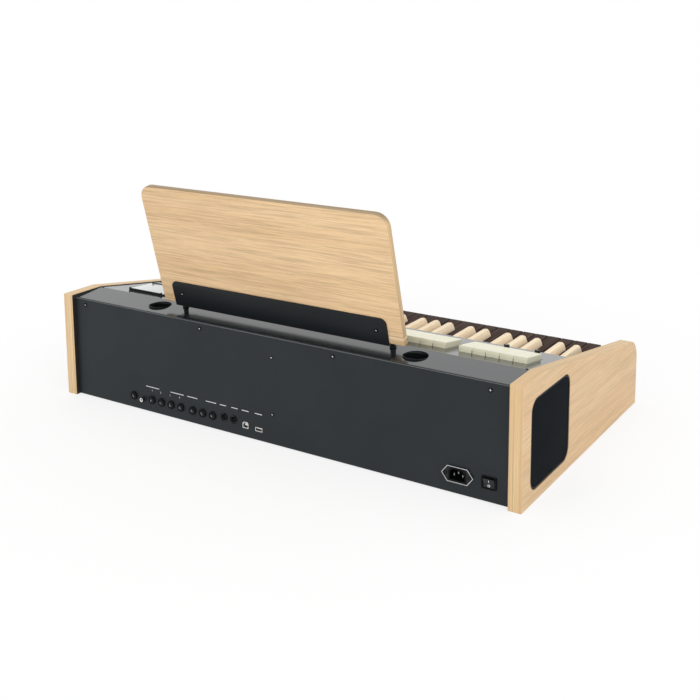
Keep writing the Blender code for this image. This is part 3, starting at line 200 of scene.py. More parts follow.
def make_oak(
    name, axes, tilt=0.0, tone=1.0, top_tone=1.0, dark_inside=False, lines=480, contrast=0.50, along=9,
):
    """Light oak veneer.

    axes: which axis runs along the grain, through the board and across it. lines, along and
    contrast: how close, how short and how strong the fine streaks are. top_tone darkens the
    edges that face up, and dark_inside darkens the faces that look to the organ's middle.
    """
    material, tree, shader = new_material(name)
    broad = noise(tree, coordinates(tree, stretched(axes, 2.2, 9, 26), tilt), detail=5, distortion=0.6)
    figure = noise(tree, coordinates(tree, stretched(axes, 1.6, 90, 110), tilt), detail=4, distortion=0.8)
    streak = noise(tree, coordinates(tree, stretched(axes, along, lines, lines), tilt), detail=4, roughness=0.7)
    pores = noise(tree, coordinates(tree, stretched(axes, 45, 1300, 2300), tilt), detail=2)
    low = (0.73 * tone, 0.490 * tone, 0.265 * tone)
    high = (0.83 * tone, 0.590 * tone, 0.345 * tone)
    face = ramp(tree, broad, (0.25, low), (0.75, high))
    for factor, value, low_stop, high_stop in (
        (0.13, figure, (0.3, grey(0.84)), (0.7, grey(1.04))),
        (contrast, streak, (0.38, grey(0.70)), (0.58, grey(1.07))),
        (0.40, pores, (0.24, grey(0.45)), (0.40, grey(1.0))),
    ):
        face = blend_colours(tree, factor, face, ramp(tree, value, low_stop, high_stop), "MULTIPLY")
    layers = noise(tree, coordinates(tree, stretched(axes, 2, 520, 2), tilt), detail=2, roughness=0.6)
    brown = (0.58 * tone, 0.395 * tone, 0.20 * tone)
    amber = (0.70 * tone, 0.485 * tone, 0.26 * tone)
    cream = (0.84 * tone, 0.65 * tone, 0.42 * tone)
    edge = ramp(tree, layers, (0.36, brown), (0.46, amber), (0.54, amber), (0.64, cream))
    fibre = noise(tree, coordinates(tree, stretched(axes, 60, 1500, 60), tilt), detail=3)
    edge = blend_colours(tree, 0.25, edge, ramp(tree, fibre, (0.3, grey(0.7)), (0.7, grey(1.0))), "MULTIPLY")
    normal = node(tree, "ShaderNodeTexCoord").outputs["Normal"]
    turned = node(tree, "ShaderNodeVectorRotate", rotation_type="X_AXIS", in_Vector=normal, in_Angle=tilt)
    parts = node(tree, "ShaderNodeSeparateXYZ", in_Vector=turned.outputs[0]).outputs
    facing = maths(tree, "GREATER_THAN", maths(tree, "ABSOLUTE", parts[axes[1]]), 0.75)
    upward = node(tree, "ShaderNodeMapRange", in_0=parts[axes[2]], in_1=0.3, in_2=0.85).outputs[0]
    edge = blend_colours(tree, upward, edge, blend_colours(tree, 1.0, edge, grey(top_tone), "MULTIPLY"))
    wood = blend_colours(tree, facing, edge, face)
    if dark_inside:
        place = node(tree, "ShaderNodeTexCoord").outputs["Object"]
        side = node(tree, "ShaderNodeSeparateXYZ", in_Vector=place).outputs[0]
        inward = maths(tree, "LESS_THAN", maths(tree, "MULTIPLY", side, parts[0]), -0.3)
        darkened = blend_colours(tree, 1.0, face, (0.035, 0.040, 0.055), "MULTIPLY")
        wood = blend_colours(tree, inward, wood, darkened)
    tree.links.new(wood, shader.inputs["Base Color"])
    rough = ramp(tree, streak, (0.2, grey(0.56)), (0.8, grey(0.44)))
    tree.links.new(rough, shader.inputs["Roughness"])
    shader.inputs["Specular IOR Level"].default_value = 0.35
    bump(tree, shader, maths(tree, "ADD", maths(tree, "MULTIPLY", pores, 0.6), streak), 0.25, 0.00025)
    return material


def make_paint(name, low, high, rough=(0.36, 0.46), specular=0.35):
    """Satin paint over sheet steel: an even fine grain with faint larger waves."""
    material, tree, shader = new_material(name)
    grain = noise(tree, coordinates(tree, (900, 900, 900)), detail=3, roughness=0.6)
    cloud = noise(tree, coordinates(tree, (9, 9, 9)), detail=3)
    base = ramp(tree, cloud, (0.3, low), (0.7, high))
    speckle = ramp(tree, grain, (0.3, grey(0.7)), (0.7, grey(1.15)))
    tree.links.new(blend_colours(tree, 0.35, base, speckle, "MULTIPLY"), shader.inputs["Base Color"])
    gloss = ramp(tree, grain, (0.25, grey(rough[0])), (0.75, grey(rough[1])))
    tree.links.new(gloss, shader.inputs["Roughness"])
    shader.inputs["Specular IOR Level"].default_value = specular
    bump(tree, shader, grain, 0.12, 0.0001)
    return material


def make_plastic(name, colour, rough=0.35, grain=1100, strength=0.12, spread=0.12, specular=0.4):
    """Moulded plastic with a fine texture and a slight drift of tone."""
    material, tree, shader = new_material(name)
    texture = noise(tree, coordinates(tree, (grain, grain, grain)), detail=3)
    cloud = noise(tree, coordinates(tree, (28, 28, 28)), detail=3)
    low = tuple(c * (1 - spread) for c in colour)
    high = tuple(min(c * (1 + spread), 1) for c in colour)
    tree.links.new(ramp(tree, cloud, (0.3, low), (0.7, high)), shader.inputs["Base Color"])
    gloss = ramp(tree, texture, (0.2, grey(rough * 0.85)), (0.8, grey(rough * 1.2)))
    tree.links.new(gloss, shader.inputs["Roughness"])
    shader.inputs["Specular IOR Level"].default_value = specular
    bump(tree, shader, texture, strength, 0.00012)
    return material


def make_metal(name, colour, rough=0.28, along=(30, 1400, 1400)):
    """Metal with fine drawn lines."""
    material, tree, shader = new_material(name)
    lines = noise(tree, coordinates(tree, along), detail=3, roughness=0.6)
    low = tuple(c * 0.82 for c in colour)
    tree.links.new(ramp(tree, lines, (0.3, low), (0.7, colour)), shader.inputs["Base Color"])
    gloss = ramp(tree, lines, (0.25, grey(rough * 0.8)), (0.75, grey(rough * 1.3)))
    tree.links.new(gloss, shader.inputs["Roughness"])
    shader.inputs["Metallic"].default_value = 1.0
    bump(tree, shader, lines, 0.15, 0.00008)
    return material


def make_key_wood(name, low, high, rough, contrast, specular=0.3, gap_shade=1.0):
    """Key wood: streaks and short pores run from the player to the rear; the sides are darkened by a factor,
    painted shade for the gaps between keys.
    """
    material, tree, shader = new_material(name)
    broad = noise(tree, coordinates(tree, (90, 5, 60)), detail=4)
    streak = noise(tree, coordinates(tree, (1100, 22, 900)), detail=4, roughness=0.65)
    pores = noise(tree, coordinates(tree, (2600, 120, 2400)), detail=2)
    base = ramp(tree, broad, (0.3, low), (0.7, high))
    dark = ramp(tree, streak, (0.32, grey(0.5)), (0.62, grey(1.1)))
    base = blend_colours(tree, contrast, base, dark, "MULTIPLY")
    dark = ramp(tree, pores, (0.25, grey(0.4)), (0.42, grey(1.0)))
    base = blend_colours(tree, contrast * 0.8, base, dark, "MULTIPLY")
    # Painted shade: faces that look across are darkened so the gaps between keys read dark.
    normal = node(tree, "ShaderNodeTexCoord").outputs["Normal"]
    across = node(tree, "ShaderNodeSeparateXYZ", in_Vector=normal).outputs[0]
    side = maths(tree, "GREATER_THAN", maths(tree, "ABSOLUTE", across), 0.5)
    base = blend_colours(tree, side, base, blend_colours(tree, 1.0, base, grey(gap_shade), "MULTIPLY"))
    tree.links.new(base, shader.inputs["Base Color"])
    gloss = ramp(tree, streak, (0.3, grey(rough * 1.15)), (0.7, grey(rough * 0.9)))
    tree.links.new(gloss, shader.inputs["Roughness"])
    shader.inputs["Specular IOR Level"].default_value = specular
    bump(tree, shader, streak, 0.2, 0.00015)
    return material


def make_cloth(name):
    """Black acoustic cloth: a fine square weave."""
    material, tree, shader = new_material(name)
    place = coordinates(tree, (1, 1, 1))
    warp, weft = (
        node(
            tree, "ShaderNodeTexWave", bands_direction=direction, in_Vector=place, in_Scale=260.0,
            in_Distortion=0.4, in_Detail=1.0,
        ).outputs["Fac"]
        for direction in "YZ"
    )
    weave = maths(tree, "MULTIPLY", warp, weft)
    cloud = noise(tree, coordinates(tree, (30, 30, 30)), detail=4)
    base = ramp(tree, weave, (0.1, (0.005, 0.007, 0.009)), (0.8, (0.018, 0.022, 0.027)))
    base = blend_colours(tree, 0.3, base, ramp(tree, cloud, (0.3, grey(0.6)), (0.7, grey(1.2))), "MULTIPLY")
    tree.links.new(base, shader.inputs["Base Color"])
    shader.inputs["Roughness"].default_value = 0.9
    shader.inputs["Specular IOR Level"].default_value = 0.06
    bump(tree, shader, weave, 0.5, 0.0004)
    return material


def make_display_glass(name):
    """An unlit grey screen under clear glass."""
    material, tree, shader = new_material(name)
    cells = noise(tree, coordinates(tree, (1500, 1500, 1500)), detail=1)
    cloud = noise(tree, coordinates(tree, (14, 14, 14)), detail=2)
    base = ramp(tree, cloud, (0.3, (0.50, 0.52, 0.52)), (0.7, (0.60, 0.62, 0.61)))
    base = blend_colours(tree, 0.1, base, ramp(tree, cells, (0.3, grey(0.8)), (0.7, grey(1.1))), "MULTIPLY")
    tree.links.new(base, shader.inputs["Base Color"])
    shader.inputs["Roughness"].default_value = 0.3
    shader.inputs["Coat Weight"].default_value = 1.0
    shader.inputs["Coat Roughness"].default_value = 0.03
    return material


def make_board(name):
    """A green circuit board with copper tracks under its lacquer."""
    material, tree, shader = new_material(name)
    tracks = node(
        tree, "ShaderNodeTexBrick", in_Vector=coordinates(tree, (160, 160, 160)), in_Scale=1.0,
        in_Mortar_Size=0.03,
    ).outputs["Fac"]
    base = blend_colours(tree, tracks, (0.02, 0.13, 0.05), (0.10, 0.26, 0.09))
    tree.links.new(base, shader.inputs["Base Color"])
    shader.inputs["Roughness"].default_value = 0.35
    bump(tree, shader, tracks, 0.2, 0.0001)
    return material


M = {
    "cheek": make_oak("cheek_oak", (1, 0, 2), tone=0.985, dark_inside=True),
    "desk": make_oak(
        "desk_oak", (0, 1, 2), tilt=DESK_TILT, tone=0.95, top_tone=0.5, lines=430, contrast=0.72, along=11,
    ),
    "ledge": make_oak("ledge_oak", (0, 2, 1), tilt=DESK_TILT, tone=0.93),
    "paint": make_paint("charcoal_paint", (0.0150, 0.0190, 0.0215), (0.0185, 0.0230, 0.0257), specular=0.20),
    "rail": make_paint(
        "rail_paint", (0.050, 0.055, 0.060), (0.062, 0.068, 0.073), rough=(0.24, 0.32), specular=0.5,
    ),
    # Pale paint used only as a painted highlight on the rear panel's upper edge.
    "edge_highlight": make_paint("edge_highlight_paint", (0.100, 0.106, 0.110), (0.130, 0.137, 0.142), rough=(0.30, 0.38)),
    "cover": make_paint(
        "cover_paint", (0.013, 0.016, 0.018), (0.017, 0.021, 0.023), rough=(0.12, 0.17), specular=1.0,
    ),
    "bracket": make_paint(
        "bracket_black", (0.0075, 0.0095, 0.0115), (0.0105, 0.0130, 0.0155), rough=(0.38, 0.5),
        specular=0.16,
    ),
    "cloth": make_cloth("grille_cloth"),
    "cone": make_plastic("cone_paper", (0.02, 0.02, 0.021), rough=0.8, grain=500, strength=0.4),
    "black": make_plastic("black_plastic", (0.0055, 0.0065, 0.0075), rough=0.36, specular=0.3),
    "jet": make_plastic("jet_plastic", (0.0030, 0.0036, 0.0042), rough=0.34, specular=0.10),
    "black_gloss": make_plastic(
        "black_gloss_plastic", (0.006, 0.007, 0.008), rough=0.20, strength=0.03, specular=0.35,
    ),
    "cream": make_plastic("cream_plastic", (0.79, 0.77, 0.585), rough=0.30, strength=0.05, spread=0.03),
    "white_print": make_plastic("white_print", (0.82, 0.83, 0.83), rough=0.5, strength=0.02, spread=0.02),
    "white_plastic": make_plastic("white_plastic", (0.78, 0.78, 0.77), rough=0.3, spread=0.03),
    # The naturals' sides carry painted shade for the gaps between keys.
    "natural": make_key_wood(
        "natural_dark_wood", (0.040, 0.024, 0.019), (0.076, 0.047, 0.038), 0.62, 0.6, specular=0.05,
        gap_shade=0.2,
    ),
    "sharp": make_key_wood("sharp_pale_wood", (0.90, 0.71, 0.48), (0.97, 0.81, 0.58), 0.42, 0.2),
    "raw": make_key_wood("raw_wood", (0.48, 0.34, 0.21), (0.62, 0.46, 0.30), 0.7, 0.4),
    "dull_metal": make_metal("dull_metal", (0.30, 0.30, 0.30), rough=0.35, along=(900, 900, 900)),
    # Bright metal used only for the inlet's rim, a painted highlight on the flange's edges.
    "highlight_metal": make_metal("rim_highlight_metal", (0.55, 0.56, 0.56), rough=0.35, along=(900, 900, 900)),
    "steel": make_metal("bare_steel", (0.56, 0.57, 0.58)),
    "silver": make_metal("plated_silver", (0.80, 0.79, 0.77), rough=0.18),
    "screw": make_metal("blackened_shell", (0.060, 0.062, 0.065), rough=0.34, along=(900, 900, 900)),
    "aluminium": make_metal("extruded_aluminium", (0.75, 0.76, 0.77), along=(1400, 40, 1400)),
    "glass": make_display_glass("display_glass"),
    "board": make_board("green_board"),
}


# Shapes

def add_object(name, mesh, material, body):
    obj = bpy.data.objects.new(name, mesh)
    bpy.context.scene.collection.objects.link(obj)
    mesh.materials.clear()
    mesh.materials.append(M[material])
    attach(obj, body)
    return obj


def mesh_of(name, shape, place=Matrix()):
    """The mesh of a bmesh, moved to its place and facing out."""
    bmesh.ops.recalc_face_normals(shape, faces=shape.faces)
    mesh = bpy.data.meshes.new(name)
    shape.to_mesh(mesh)
    shape.free()
    mesh.transform(place)
    return mesh


def shade(obj, width=0.0, segments=2, angle=40):
    """Rounds the edges that turn by more than the angle, and keeps the flats flat."""
    obj.data.shade_smooth()
    if width:
        bevel = obj.modifiers.new("edges", "BEVEL")
        bevel.width = width
        bevel.segments = segments
        bevel.limit_method = "ANGLE"
        bevel.angle_limit = math.radians(angle)
        bevel.harden_normals = True
    else:
        obj.data.set_sharp_from_angle(angle=math.radians(35))
    return obj


def finish_node(name, material, width, segments=2, angle=40):
    """A piece that stands for a CAD node, with its faces joined up and its edges rounded."""
    cad = NODES[name]
    shape = bmesh.new()
    shape.from_mesh(cad.data)
    bmesh.ops.remove_doubles(shape, verts=shape.verts, dist=0.000005)
    bmesh.ops.dissolve_limit(shape, angle_limit=math.radians(0.5), verts=shape.verts, edges=shape.edges)
    obj = add_object(name + "_finished", mesh_of(name, shape), material, cad["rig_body"])
    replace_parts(obj, name)
    return shade(obj, width, segments, angle)


def paint_node(name, material):
    """The CAD node itself, with a better material."""
    cad = NODES[name]
    cad.data.materials.clear()
    cad.data.materials.append(M[material])


def lathe(name, profile, place, material, body, steps=40):
    """A shape turned about the place's third axis from a profile of (radius, height), closed on itself."""
    shape = bmesh.new()
    verts = [shape.verts.new((radius, 0, height)) for radius, height in profile]
    pairs = list(zip(verts, verts[1:]))
    if profile[0][0] > 0 and profile[-1][0] > 0:
        pairs.append((verts[-1], verts[0]))
    edges = [shape.edges.new(pair) for pair in pairs]
    bmesh.ops.spin(
        shape, geom=verts + edges, axis=(0, 0, 1), cent=(0, 0, 0), angle=2 * math.pi, steps=steps
    )
    bmesh.ops.remove_doubles(shape, verts=shape.verts, dist=0.000001)
    return shade(add_object(name, mesh_of(name, shape, place), material, body))


def rounded_box(a, b, radius, centre=(0, 0), steps=6):
    """A rectangle's outline with round corners."""
    outline = []
    for k, (sx, sy) in enumerate(((1, 1), (-1, 1), (-1, -1), (1, -1))):
        for i in range(steps + 1):
            angle = (k + i / steps) * math.pi / 2
            outline.append((
                centre[0] + sx * (a / 2 - radius) + radius * math.cos(angle),
                centre[1] + sy * (b / 2 - radius) + radius * math.sin(angle),
            ))
    return outline


def circle(radius, centre=(0, 0), steps=32):
    turns = [2 * math.pi * i / steps for i in range(steps)]
    return [(centre[0] + radius * math.cos(t), centre[1] + radius * math.sin(t)) for t in turns]


def ribbed(radius, ribs, depth):
    """A circle whose edge rises and falls in fine ribs."""
    outline = []
    for i in range(4 * ribs):
        t = math.pi * i / (2 * ribs)
        r = radius - (depth if i % 4 >= 2 else 0)
        outline.append((r * math.cos(t), r * math.sin(t)))
    return outline


def plate(name, outlines, depth, place, material, body, edge=0.0, segments=2):
    """A flat shape from z 0 up to the depth, with holes at the outlines after the first."""
    curve = bpy.data.curves.new(name, "CURVE")
    curve.dimensions = "2D"
    curve.fill_mode = "BOTH"
    curve.extrude = depth / 2 - edge
    curve.bevel_depth = edge
    curve.bevel_resolution = segments
    curve.offset = -edge
    for outline in outlines:
        spline = curve.splines.new("POLY")
        spline.points.add(len(outline) - 1)
        for target, (a, b) in zip(spline.points, outline):
            target.co = (a, b, 0, 1)
        spline.use_cyclic_u = True
    return from_curve(name, curve, place @ Matrix.Translation((0, 0, depth / 2)), material, body)


def from_curve(name, curve, place, material, body):
    flat = bpy.data.objects.new(name, curve)
    bpy.context.scene.collection.objects.link(flat)
    bpy.context.view_layer.update()
    mesh = bpy.data.meshes.new_from_object(flat.evaluated_get(bpy.context.evaluated_depsgraph_get()))
    bpy.data.objects.remove(flat, do_unlink=True)
    shape = bmesh.new()
    shape.from_mesh(mesh)
    bmesh.ops.remove_doubles(shape, verts=shape.verts, dist=0.000002)
    return shade(add_object(name, mesh_of(name, shape, place), material, body))


def lettering(name, words, size, place, material, body):
    """Printed figures, centred on their place."""
    curve = bpy.data.curves.new(name, "FONT")
    curve.body = words
    curve.size = size
    curve.align_x = "CENTER"
    curve.align_y = "CENTER"
    curve.extrude = 0.00003
    return from_curve(name, curve, place @ Matrix.Translation((0, 0, 0.00003)), material, body)


def bar(name, width, height, depth, place, material, body, edge=0.0):
    """A small block, its lower face on the place, with rounded edges."""
    shape = bmesh.new()
    bmesh.ops.create_cube(shape, size=1)
    size = Matrix.Translation((0, 0, depth / 2)) @ Matrix.Diagonal((width, height, depth, 1))
    bmesh.ops.transform(shape, matrix=size, verts=shape.verts)
    return shade(add_object(name, mesh_of(name, shape, place), material, body), edge, 3)


def joined(pieces, name):
    """One piece from several that share a body and a material."""
    shape = bmesh.new()
    for piece in pieces:
        shape.from_mesh(piece.data)
    first = pieces[0]
    mesh = bpy.data.meshes.new(name)
    shape.to_mesh(mesh)
    shape.free()
    mesh.materials.append(first.data.materials[0])
    first.data = mesh
    first.name = name
    for piece in pieces[1:]:
        bpy.data.objects.remove(piece, do_unlink=True)
    mesh.set_sharp_from_angle(angle=math.radians(35))
    return first


# Camera, floor and lights

CAMERA_PLACE = (-1.02262, 1.33586, 0.73025)
CAMERA_AZIMUTH = math.radians(212.618)
CAMERA_ELEVATION = math.radians(9.449)
CAMERA_ROLL = math.radians(0.37)
FOCAL_PIXELS = 1095.68
CENTRE_PIXEL = (350.0, 169.9)
IMAGE_PIXELS = 700
SENSOR = 36.0
FLOOR_HALF = 14
FLOOR_DROP = 0.0002
FLOOR_WHITE = 0.78
FLOOR_FADE = (0.50, 0.95)
WORLD_LIGHT = 0.74


def add_camera():
    """The photograph's camera, measured from the cheeks' rear edge."""
    back = Vector((
        math.sin(CAMERA_AZIMUTH) * math.cos(CAMERA_ELEVATION),
        -math.cos(CAMERA_AZIMUTH) * math.cos(CAMERA_ELEVATION),
        math.sin(CAMERA_ELEVATION),
    ))
    right = (-back).cross(UP).normalized()
    down = (-back).cross(right)
    turned_right = math.cos(CAMERA_ROLL) * right + math.sin(CAMERA_ROLL) * down
    turned_down = math.cos(CAMERA_ROLL) * down - math.sin(CAMERA_ROLL) * right
    lens = bpy.data.cameras.new("camera")
    lens.sensor_width = SENSOR
    lens.sensor_fit = "HORIZONTAL"
    lens.lens = FOCAL_PIXELS / IMAGE_PIXELS * SENSOR
    lens.shift_x = (IMAGE_PIXELS / 2 - CENTRE_PIXEL[0]) / IMAGE_PIXELS
    lens.shift_y = (CENTRE_PIXEL[1] - IMAGE_PIXELS / 2) / IMAGE_PIXELS
    lens.clip_end = 50
    camera = bpy.data.objects.new("camera", lens)
    bpy.context.scene.collection.objects.link(camera)
    turn = Matrix((turned_right, -turned_down, back)).transposed()
    place = Vector(CAMERA_PLACE) + Vector((0, REAR_Y, 0))
    camera.matrix_world = Matrix.Translation(place) @ turn.to_4x4()
    bpy.context.scene.camera = camera


def seen_rays(tree):
    """1 for the rays that show the surroundings: camera, transmission and glossy rays."""
    path = node(tree, "ShaderNodeLightPath").outputs
    seen = maths(tree, "MAXIMUM", path["Is Camera Ray"], path["Is Transmission Ray"])
    return maths(tree, "MAXIMUM", seen, path["Is Glossy Ray"])


def add_floor():
    """A white floor that keeps a soft shadow under the organ and is plain white far from it."""
    shape = bmesh.new()
    bmesh.ops.create_grid(shape, x_segments=2, y_segments=2, size=FLOOR_HALF)
    mesh = bpy.data.meshes.new("floor")
    shape.to_mesh(mesh)
    shape.free()
    floor = bpy.data.objects.new("floor", mesh)
    bpy.context.scene.collection.objects.link(floor)
    floor.location.z = -FLOOR_DROP
    material, tree, shader = new_material("floor_white")
    place = node(tree, "ShaderNodeTexCoord").outputs["Object"]
    away = node(tree, "ShaderNodeVectorMath", operation="LENGTH", in_0=place).outputs["Value"]
    fade = node(
        tree, "ShaderNodeMapRange", interpolation_type="SMOOTHSTEP", in_0=away,
        in_1=FLOOR_FADE[0], in_2=FLOOR_FADE[1], in_3=FLOOR_WHITE, in_4=1.0,
    ).outputs[0]
    shader.inputs["Base Color"].default_value = (0.93, 0.93, 0.93, 1)
    shader.inputs["Roughness"].default_value = 0.9
    shader.inputs["Specular IOR Level"].default_value = 0.1
    white = node(tree, "ShaderNodeEmission", in_Strength=1.0)
    both = node(
        tree, "ShaderNodeMixShader", in_0=maths(tree, "MULTIPLY", fade, seen_rays(tree)),
        in_1=shader.outputs[0], in_2=white.outputs[0],
    )
    tree.links.new(both.outputs[0], tree.nodes["Material Output"].inputs["Surface"])
    mesh.materials.append(material)


def add_light(name, place, target, size, power):
    lamp = bpy.data.lights.new(name, "AREA")
    lamp.shape = "RECTANGLE"
    lamp.size, lamp.size_y = size
    lamp.energy = power
    obj = bpy.data.objects.new(name, lamp)
    bpy.context.scene.collection.objects.link(obj)
    obj.location = place
    obj.rotation_euler = (Vector(target) - Vector(place)).to_track_quat("-Z", "Y").to_euler()
    obj.visible_camera = False


def add_world():
    """White all round, dimmer as a light than as what the camera and reflections see."""
    world = bpy.data.worlds.new("studio")
    bpy.context.scene.world = world
    world.use_nodes = True
    tree = world.node_tree
    strength = maths(tree, "ADD", maths(tree, "MULTIPLY", seen_rays(tree), 1 - WORLD_LIGHT), WORLD_LIGHT)
    background = tree.nodes["Background"]
    background.inputs["Color"].default_value = (1, 1, 1, 1)
    tree.links.new(strength, background.inputs["Strength"])


add_camera()
add_floor()
add_world()
add_light("key", (-2.4, 1.6, 2.2), (0, 0, 0.1), (1.8, 1.8), 27)
add_light("top", (0.3, -0.4, 2.6), (0, 0, 0.1), (2.4, 2.4), 13)
add_light("rear_fill", (0.2, 2.6, 0.7), (0, 0, 0.2), (2.2, 1.4), 14)
bpy.context.scene.view_settings.view_transform = "Standard"


# The case

GRILLE_U = 0.1018
GRILLE_Z = 0.088
GRILLE_LENGTH = 0.145
GRILLE_HEIGHT = 0.138
GRILLE_RADIUS = 0.020
GRILLE_RIM = 0.003
PORT_X = 0.255
PORT_U = 0.0435
PORT_RADIUS = 0.0195
COVER_REAR_U = 0.0096
COVER_REAR_Z = 0.1832
COVER_TILT = math.atan2(KNEE_Z - COVER_REAR_Z, KNEE_U - COVER_REAR_U)
PANEL_SCREWS = ((0.4025, 0.1715), (0.1368, 0.1715), (-0.1290, 0.1712), (-0.3952, 0.1702))
MIDDLE_SCREWS = ((-0.0113, 0.1480), (-0.0113, 0.0522))
MIDDLE_SCREW_RADIUS = 0.0026
BEND_PLUG_X = 0.4222


def dress_cheek(name, side):
    """The cheek's wood, the grille's cloth and the black rim round it."""
    paint_node(f"{name}_cheek", "cheek")
    paint_node(f"{name}_speaker", "cone")
    outer = rounded_box(GRILLE_LENGTH, GRILLE_HEIGHT, GRILLE_RADIUS, steps=12)
    inner_size = (GRILLE_LENGTH - 2 * GRILLE_RIM, GRILLE_HEIGHT - 2 * GRILLE_RIM)
    inner = rounded_box(*inner_size, GRILLE_RADIUS - GRILLE_RIM, steps=12)
    place = cheek_side(side, GRILLE_U, GRILLE_Z, -0.005)
    cloth = plate(
        f"{name}_grille_cloth", [inner], 0.0040, place, "cloth", "case", 0.0008
    )
    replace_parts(cloth, f"{name}_speaker_grille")
    plate(
        f"{name}_grille_rim", [outer, inner], 0.0044, place, "jet", "case",
        0.0002,
    )


def add_port_rim(name, x):
    """The rolled edge of a bass port's hole in the cover."""
    z = COVER_REAR_Z + (PORT_U - COVER_REAR_U) * math.tan(COVER_TILT)
    up = Vector((0, -math.sin(COVER_TILT), math.cos(COVER_TILT)))
    place = frame_at(point(x, PORT_U, z), ACROSS, up.cross(ACROSS))
    profile = [(PORT_RADIUS + 0.0012, 0.0), (PORT_RADIUS + 0.0009, 0.0003), (PORT_RADIUS + 0.0002, 0.0002)]
    profile += [(PORT_RADIUS - 0.0002, -0.0004), (PORT_RADIUS - 0.0002, -0.0020), (PORT_RADIUS, -0.0020)]
    lathe(f"{name}_port_rim", profile, place, "black", "case", 64)


def add_screw(name, place, body, radius=0.0033, glint_metal="silver"):
    """A black pan-head screw with a cross in it; the cross shows a metal floor, bright silver by default as a
    painted glint.
    """
    arm, reach = 0.0006, 0.0019
    cross = [
        (arm, arm), (arm, reach), (-arm, reach), (-arm, arm), (-reach, arm), (-reach, -arm),
        (-arm, -arm), (-arm, -reach), (arm, -reach), (arm, -arm), (reach, -arm), (reach, arm),
    ]
    plate(name, [circle(radius), cross], 0.0014, place, "jet", body, 0.00025)
    # Painted glint: by default a bright silver floor under the cross stands for the sparkle on the screw head.
    plate(name + "_floor", [circle(radius * 0.8)], 0.0008, place, glint_metal, body, 0.0001)


for name, side in (("left", -1), ("right", 1)):
    dress_cheek(name, side)
    paint_node(f"{name}_port_tube", "black")
    add_port_rim(name, side * PORT_X)
    finish_node(f"{name}_piston_group", "cream", 0.0010, 3)
paint_node("rear_panel", "paint")
paint_node("top_cover", "cover")
paint_node("base_panel", "paint")
paint_node("front_rail", "rail")
paint_node("keybed", "raw")
paint_node("tab_rail", "steel")
paint_node("main_board", "board")
paint_node("power_supply", "steel")
paint_node("amplifier", "aluminium")
for i, (x, z) in enumerate(PANEL_SCREWS):
    add_screw(f"panel_screw_{i + 1}", rear(x, z), "case")
for i, (x, z) in enumerate(MIDDLE_SCREWS):
    add_screw(f"middle_screw_{i + 1}", rear(x, z), "case", MIDDLE_SCREW_RADIUS)


def add_panel_edge():
    """The rear panel's upper edge: a painted highlight along its bend and a black bar as painted shade for the gap
    above it.
    """
    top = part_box("rear_panel")[1].z
    width = 2 * HALF_INSIDE - 0.001
    # Painted highlight and painted shade: a pale strip for the light on the bend, a black strip for the shade in
    # the gap.
    for name, below, height, material in (("light", 0.0015, 0.0011, "edge_highlight"), ("gap", 0.0004, 0.0008, "black")):
        bar(
            f"panel_edge_{name}", width, height, 0.00015, rear(0, top - below), material,
            "case",
        )


add_panel_edge()


def add_bend_plug(name, x):
    """A small black plug in the bend of the cover, close to the cheek."""
    lean = Matrix.Rotation(SLOPE / 2, 4, "X")
    place = Matrix.Translation(point(x, KNEE_U, KNEE_Z)) @ lean
    profile = [(0.0, 0.0011), (0.0013, 0.0010), (0.0020, 0.0005), (0.0022, -0.0002)]
    profile += [(0.0022, -0.0012), (0.0, -0.0012)]
    lathe(name, profile, place, "black", "case", 24)


for name, side in (("left", -1), ("right", 1)):
    add_bend_plug(f"{name}_bend_plug", side * BEND_PLUG_X)


# Rear sockets

JACK_Z = 0.024
JACK_PITCH = 0.0218
JACK_XS = (
    [0.2915] + [0.2489 - JACK_PITCH * k for k in range(4)] + [0.1571 - JACK_PITCH * k for k in range(3)]
)
PHONO = (0.2690, 0.0218)
ROUND_XS = (0.0890, 0.0686)
ROUND_Z = 0.0268
USB_B = (0.0441, 0.0224)
USB_A = (0.0168, 0.0205)
BOARD_U = 0.0318
BOARD_THICKNESS = 0.0016
BOARD_GAP = 0.0018
JACK_BODY = 0.015
USB_DEEP = 0.0115
USB_SHELL = 0.012
GROUP_LINES = ((0.2625, 0.1763), (0.1685, 0.1055), (0.0977, 0.0599), (0.0516, 0.0098))
GROUP_LINE_Z = 0.047
FIGURE_XS = (0.2483, 0.2288, 0.2076, 0.1861)
FIGURE_Z = 0.041
FIGURE_SIZE = 0.0042
PRINT_LIFT = 0.00002


def add_socket_board():
    """The board behind the panel with the body of each socket."""
    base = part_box("socket_board")
    middle = (base[0] + base[1]) / 2
    place = frame_at(Vector((middle.x, REAR_Y - BOARD_U - BOARD_THICKNESS, middle.z)), -ACROSS, UP)
    board = bar(
        "socket_circuit_board", base[1].x - base[0].x, base[1].z - base[0].z, BOARD_THICKNESS, place,
        "board", "case", 0.0002,
    )
    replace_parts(board, "socket_board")
    depth = BOARD_U - REAR_RECESS - BOARD_GAP
    bodies = [
        bar(f"jack_body_{i}", JACK_BODY, JACK_BODY, depth, rear(x, JACK_Z, -depth - BOARD_GAP), "black",
            "case", 0.0006)
        for i, x in enumerate(JACK_XS)
    ]
    joined(bodies, "jack_bodies")


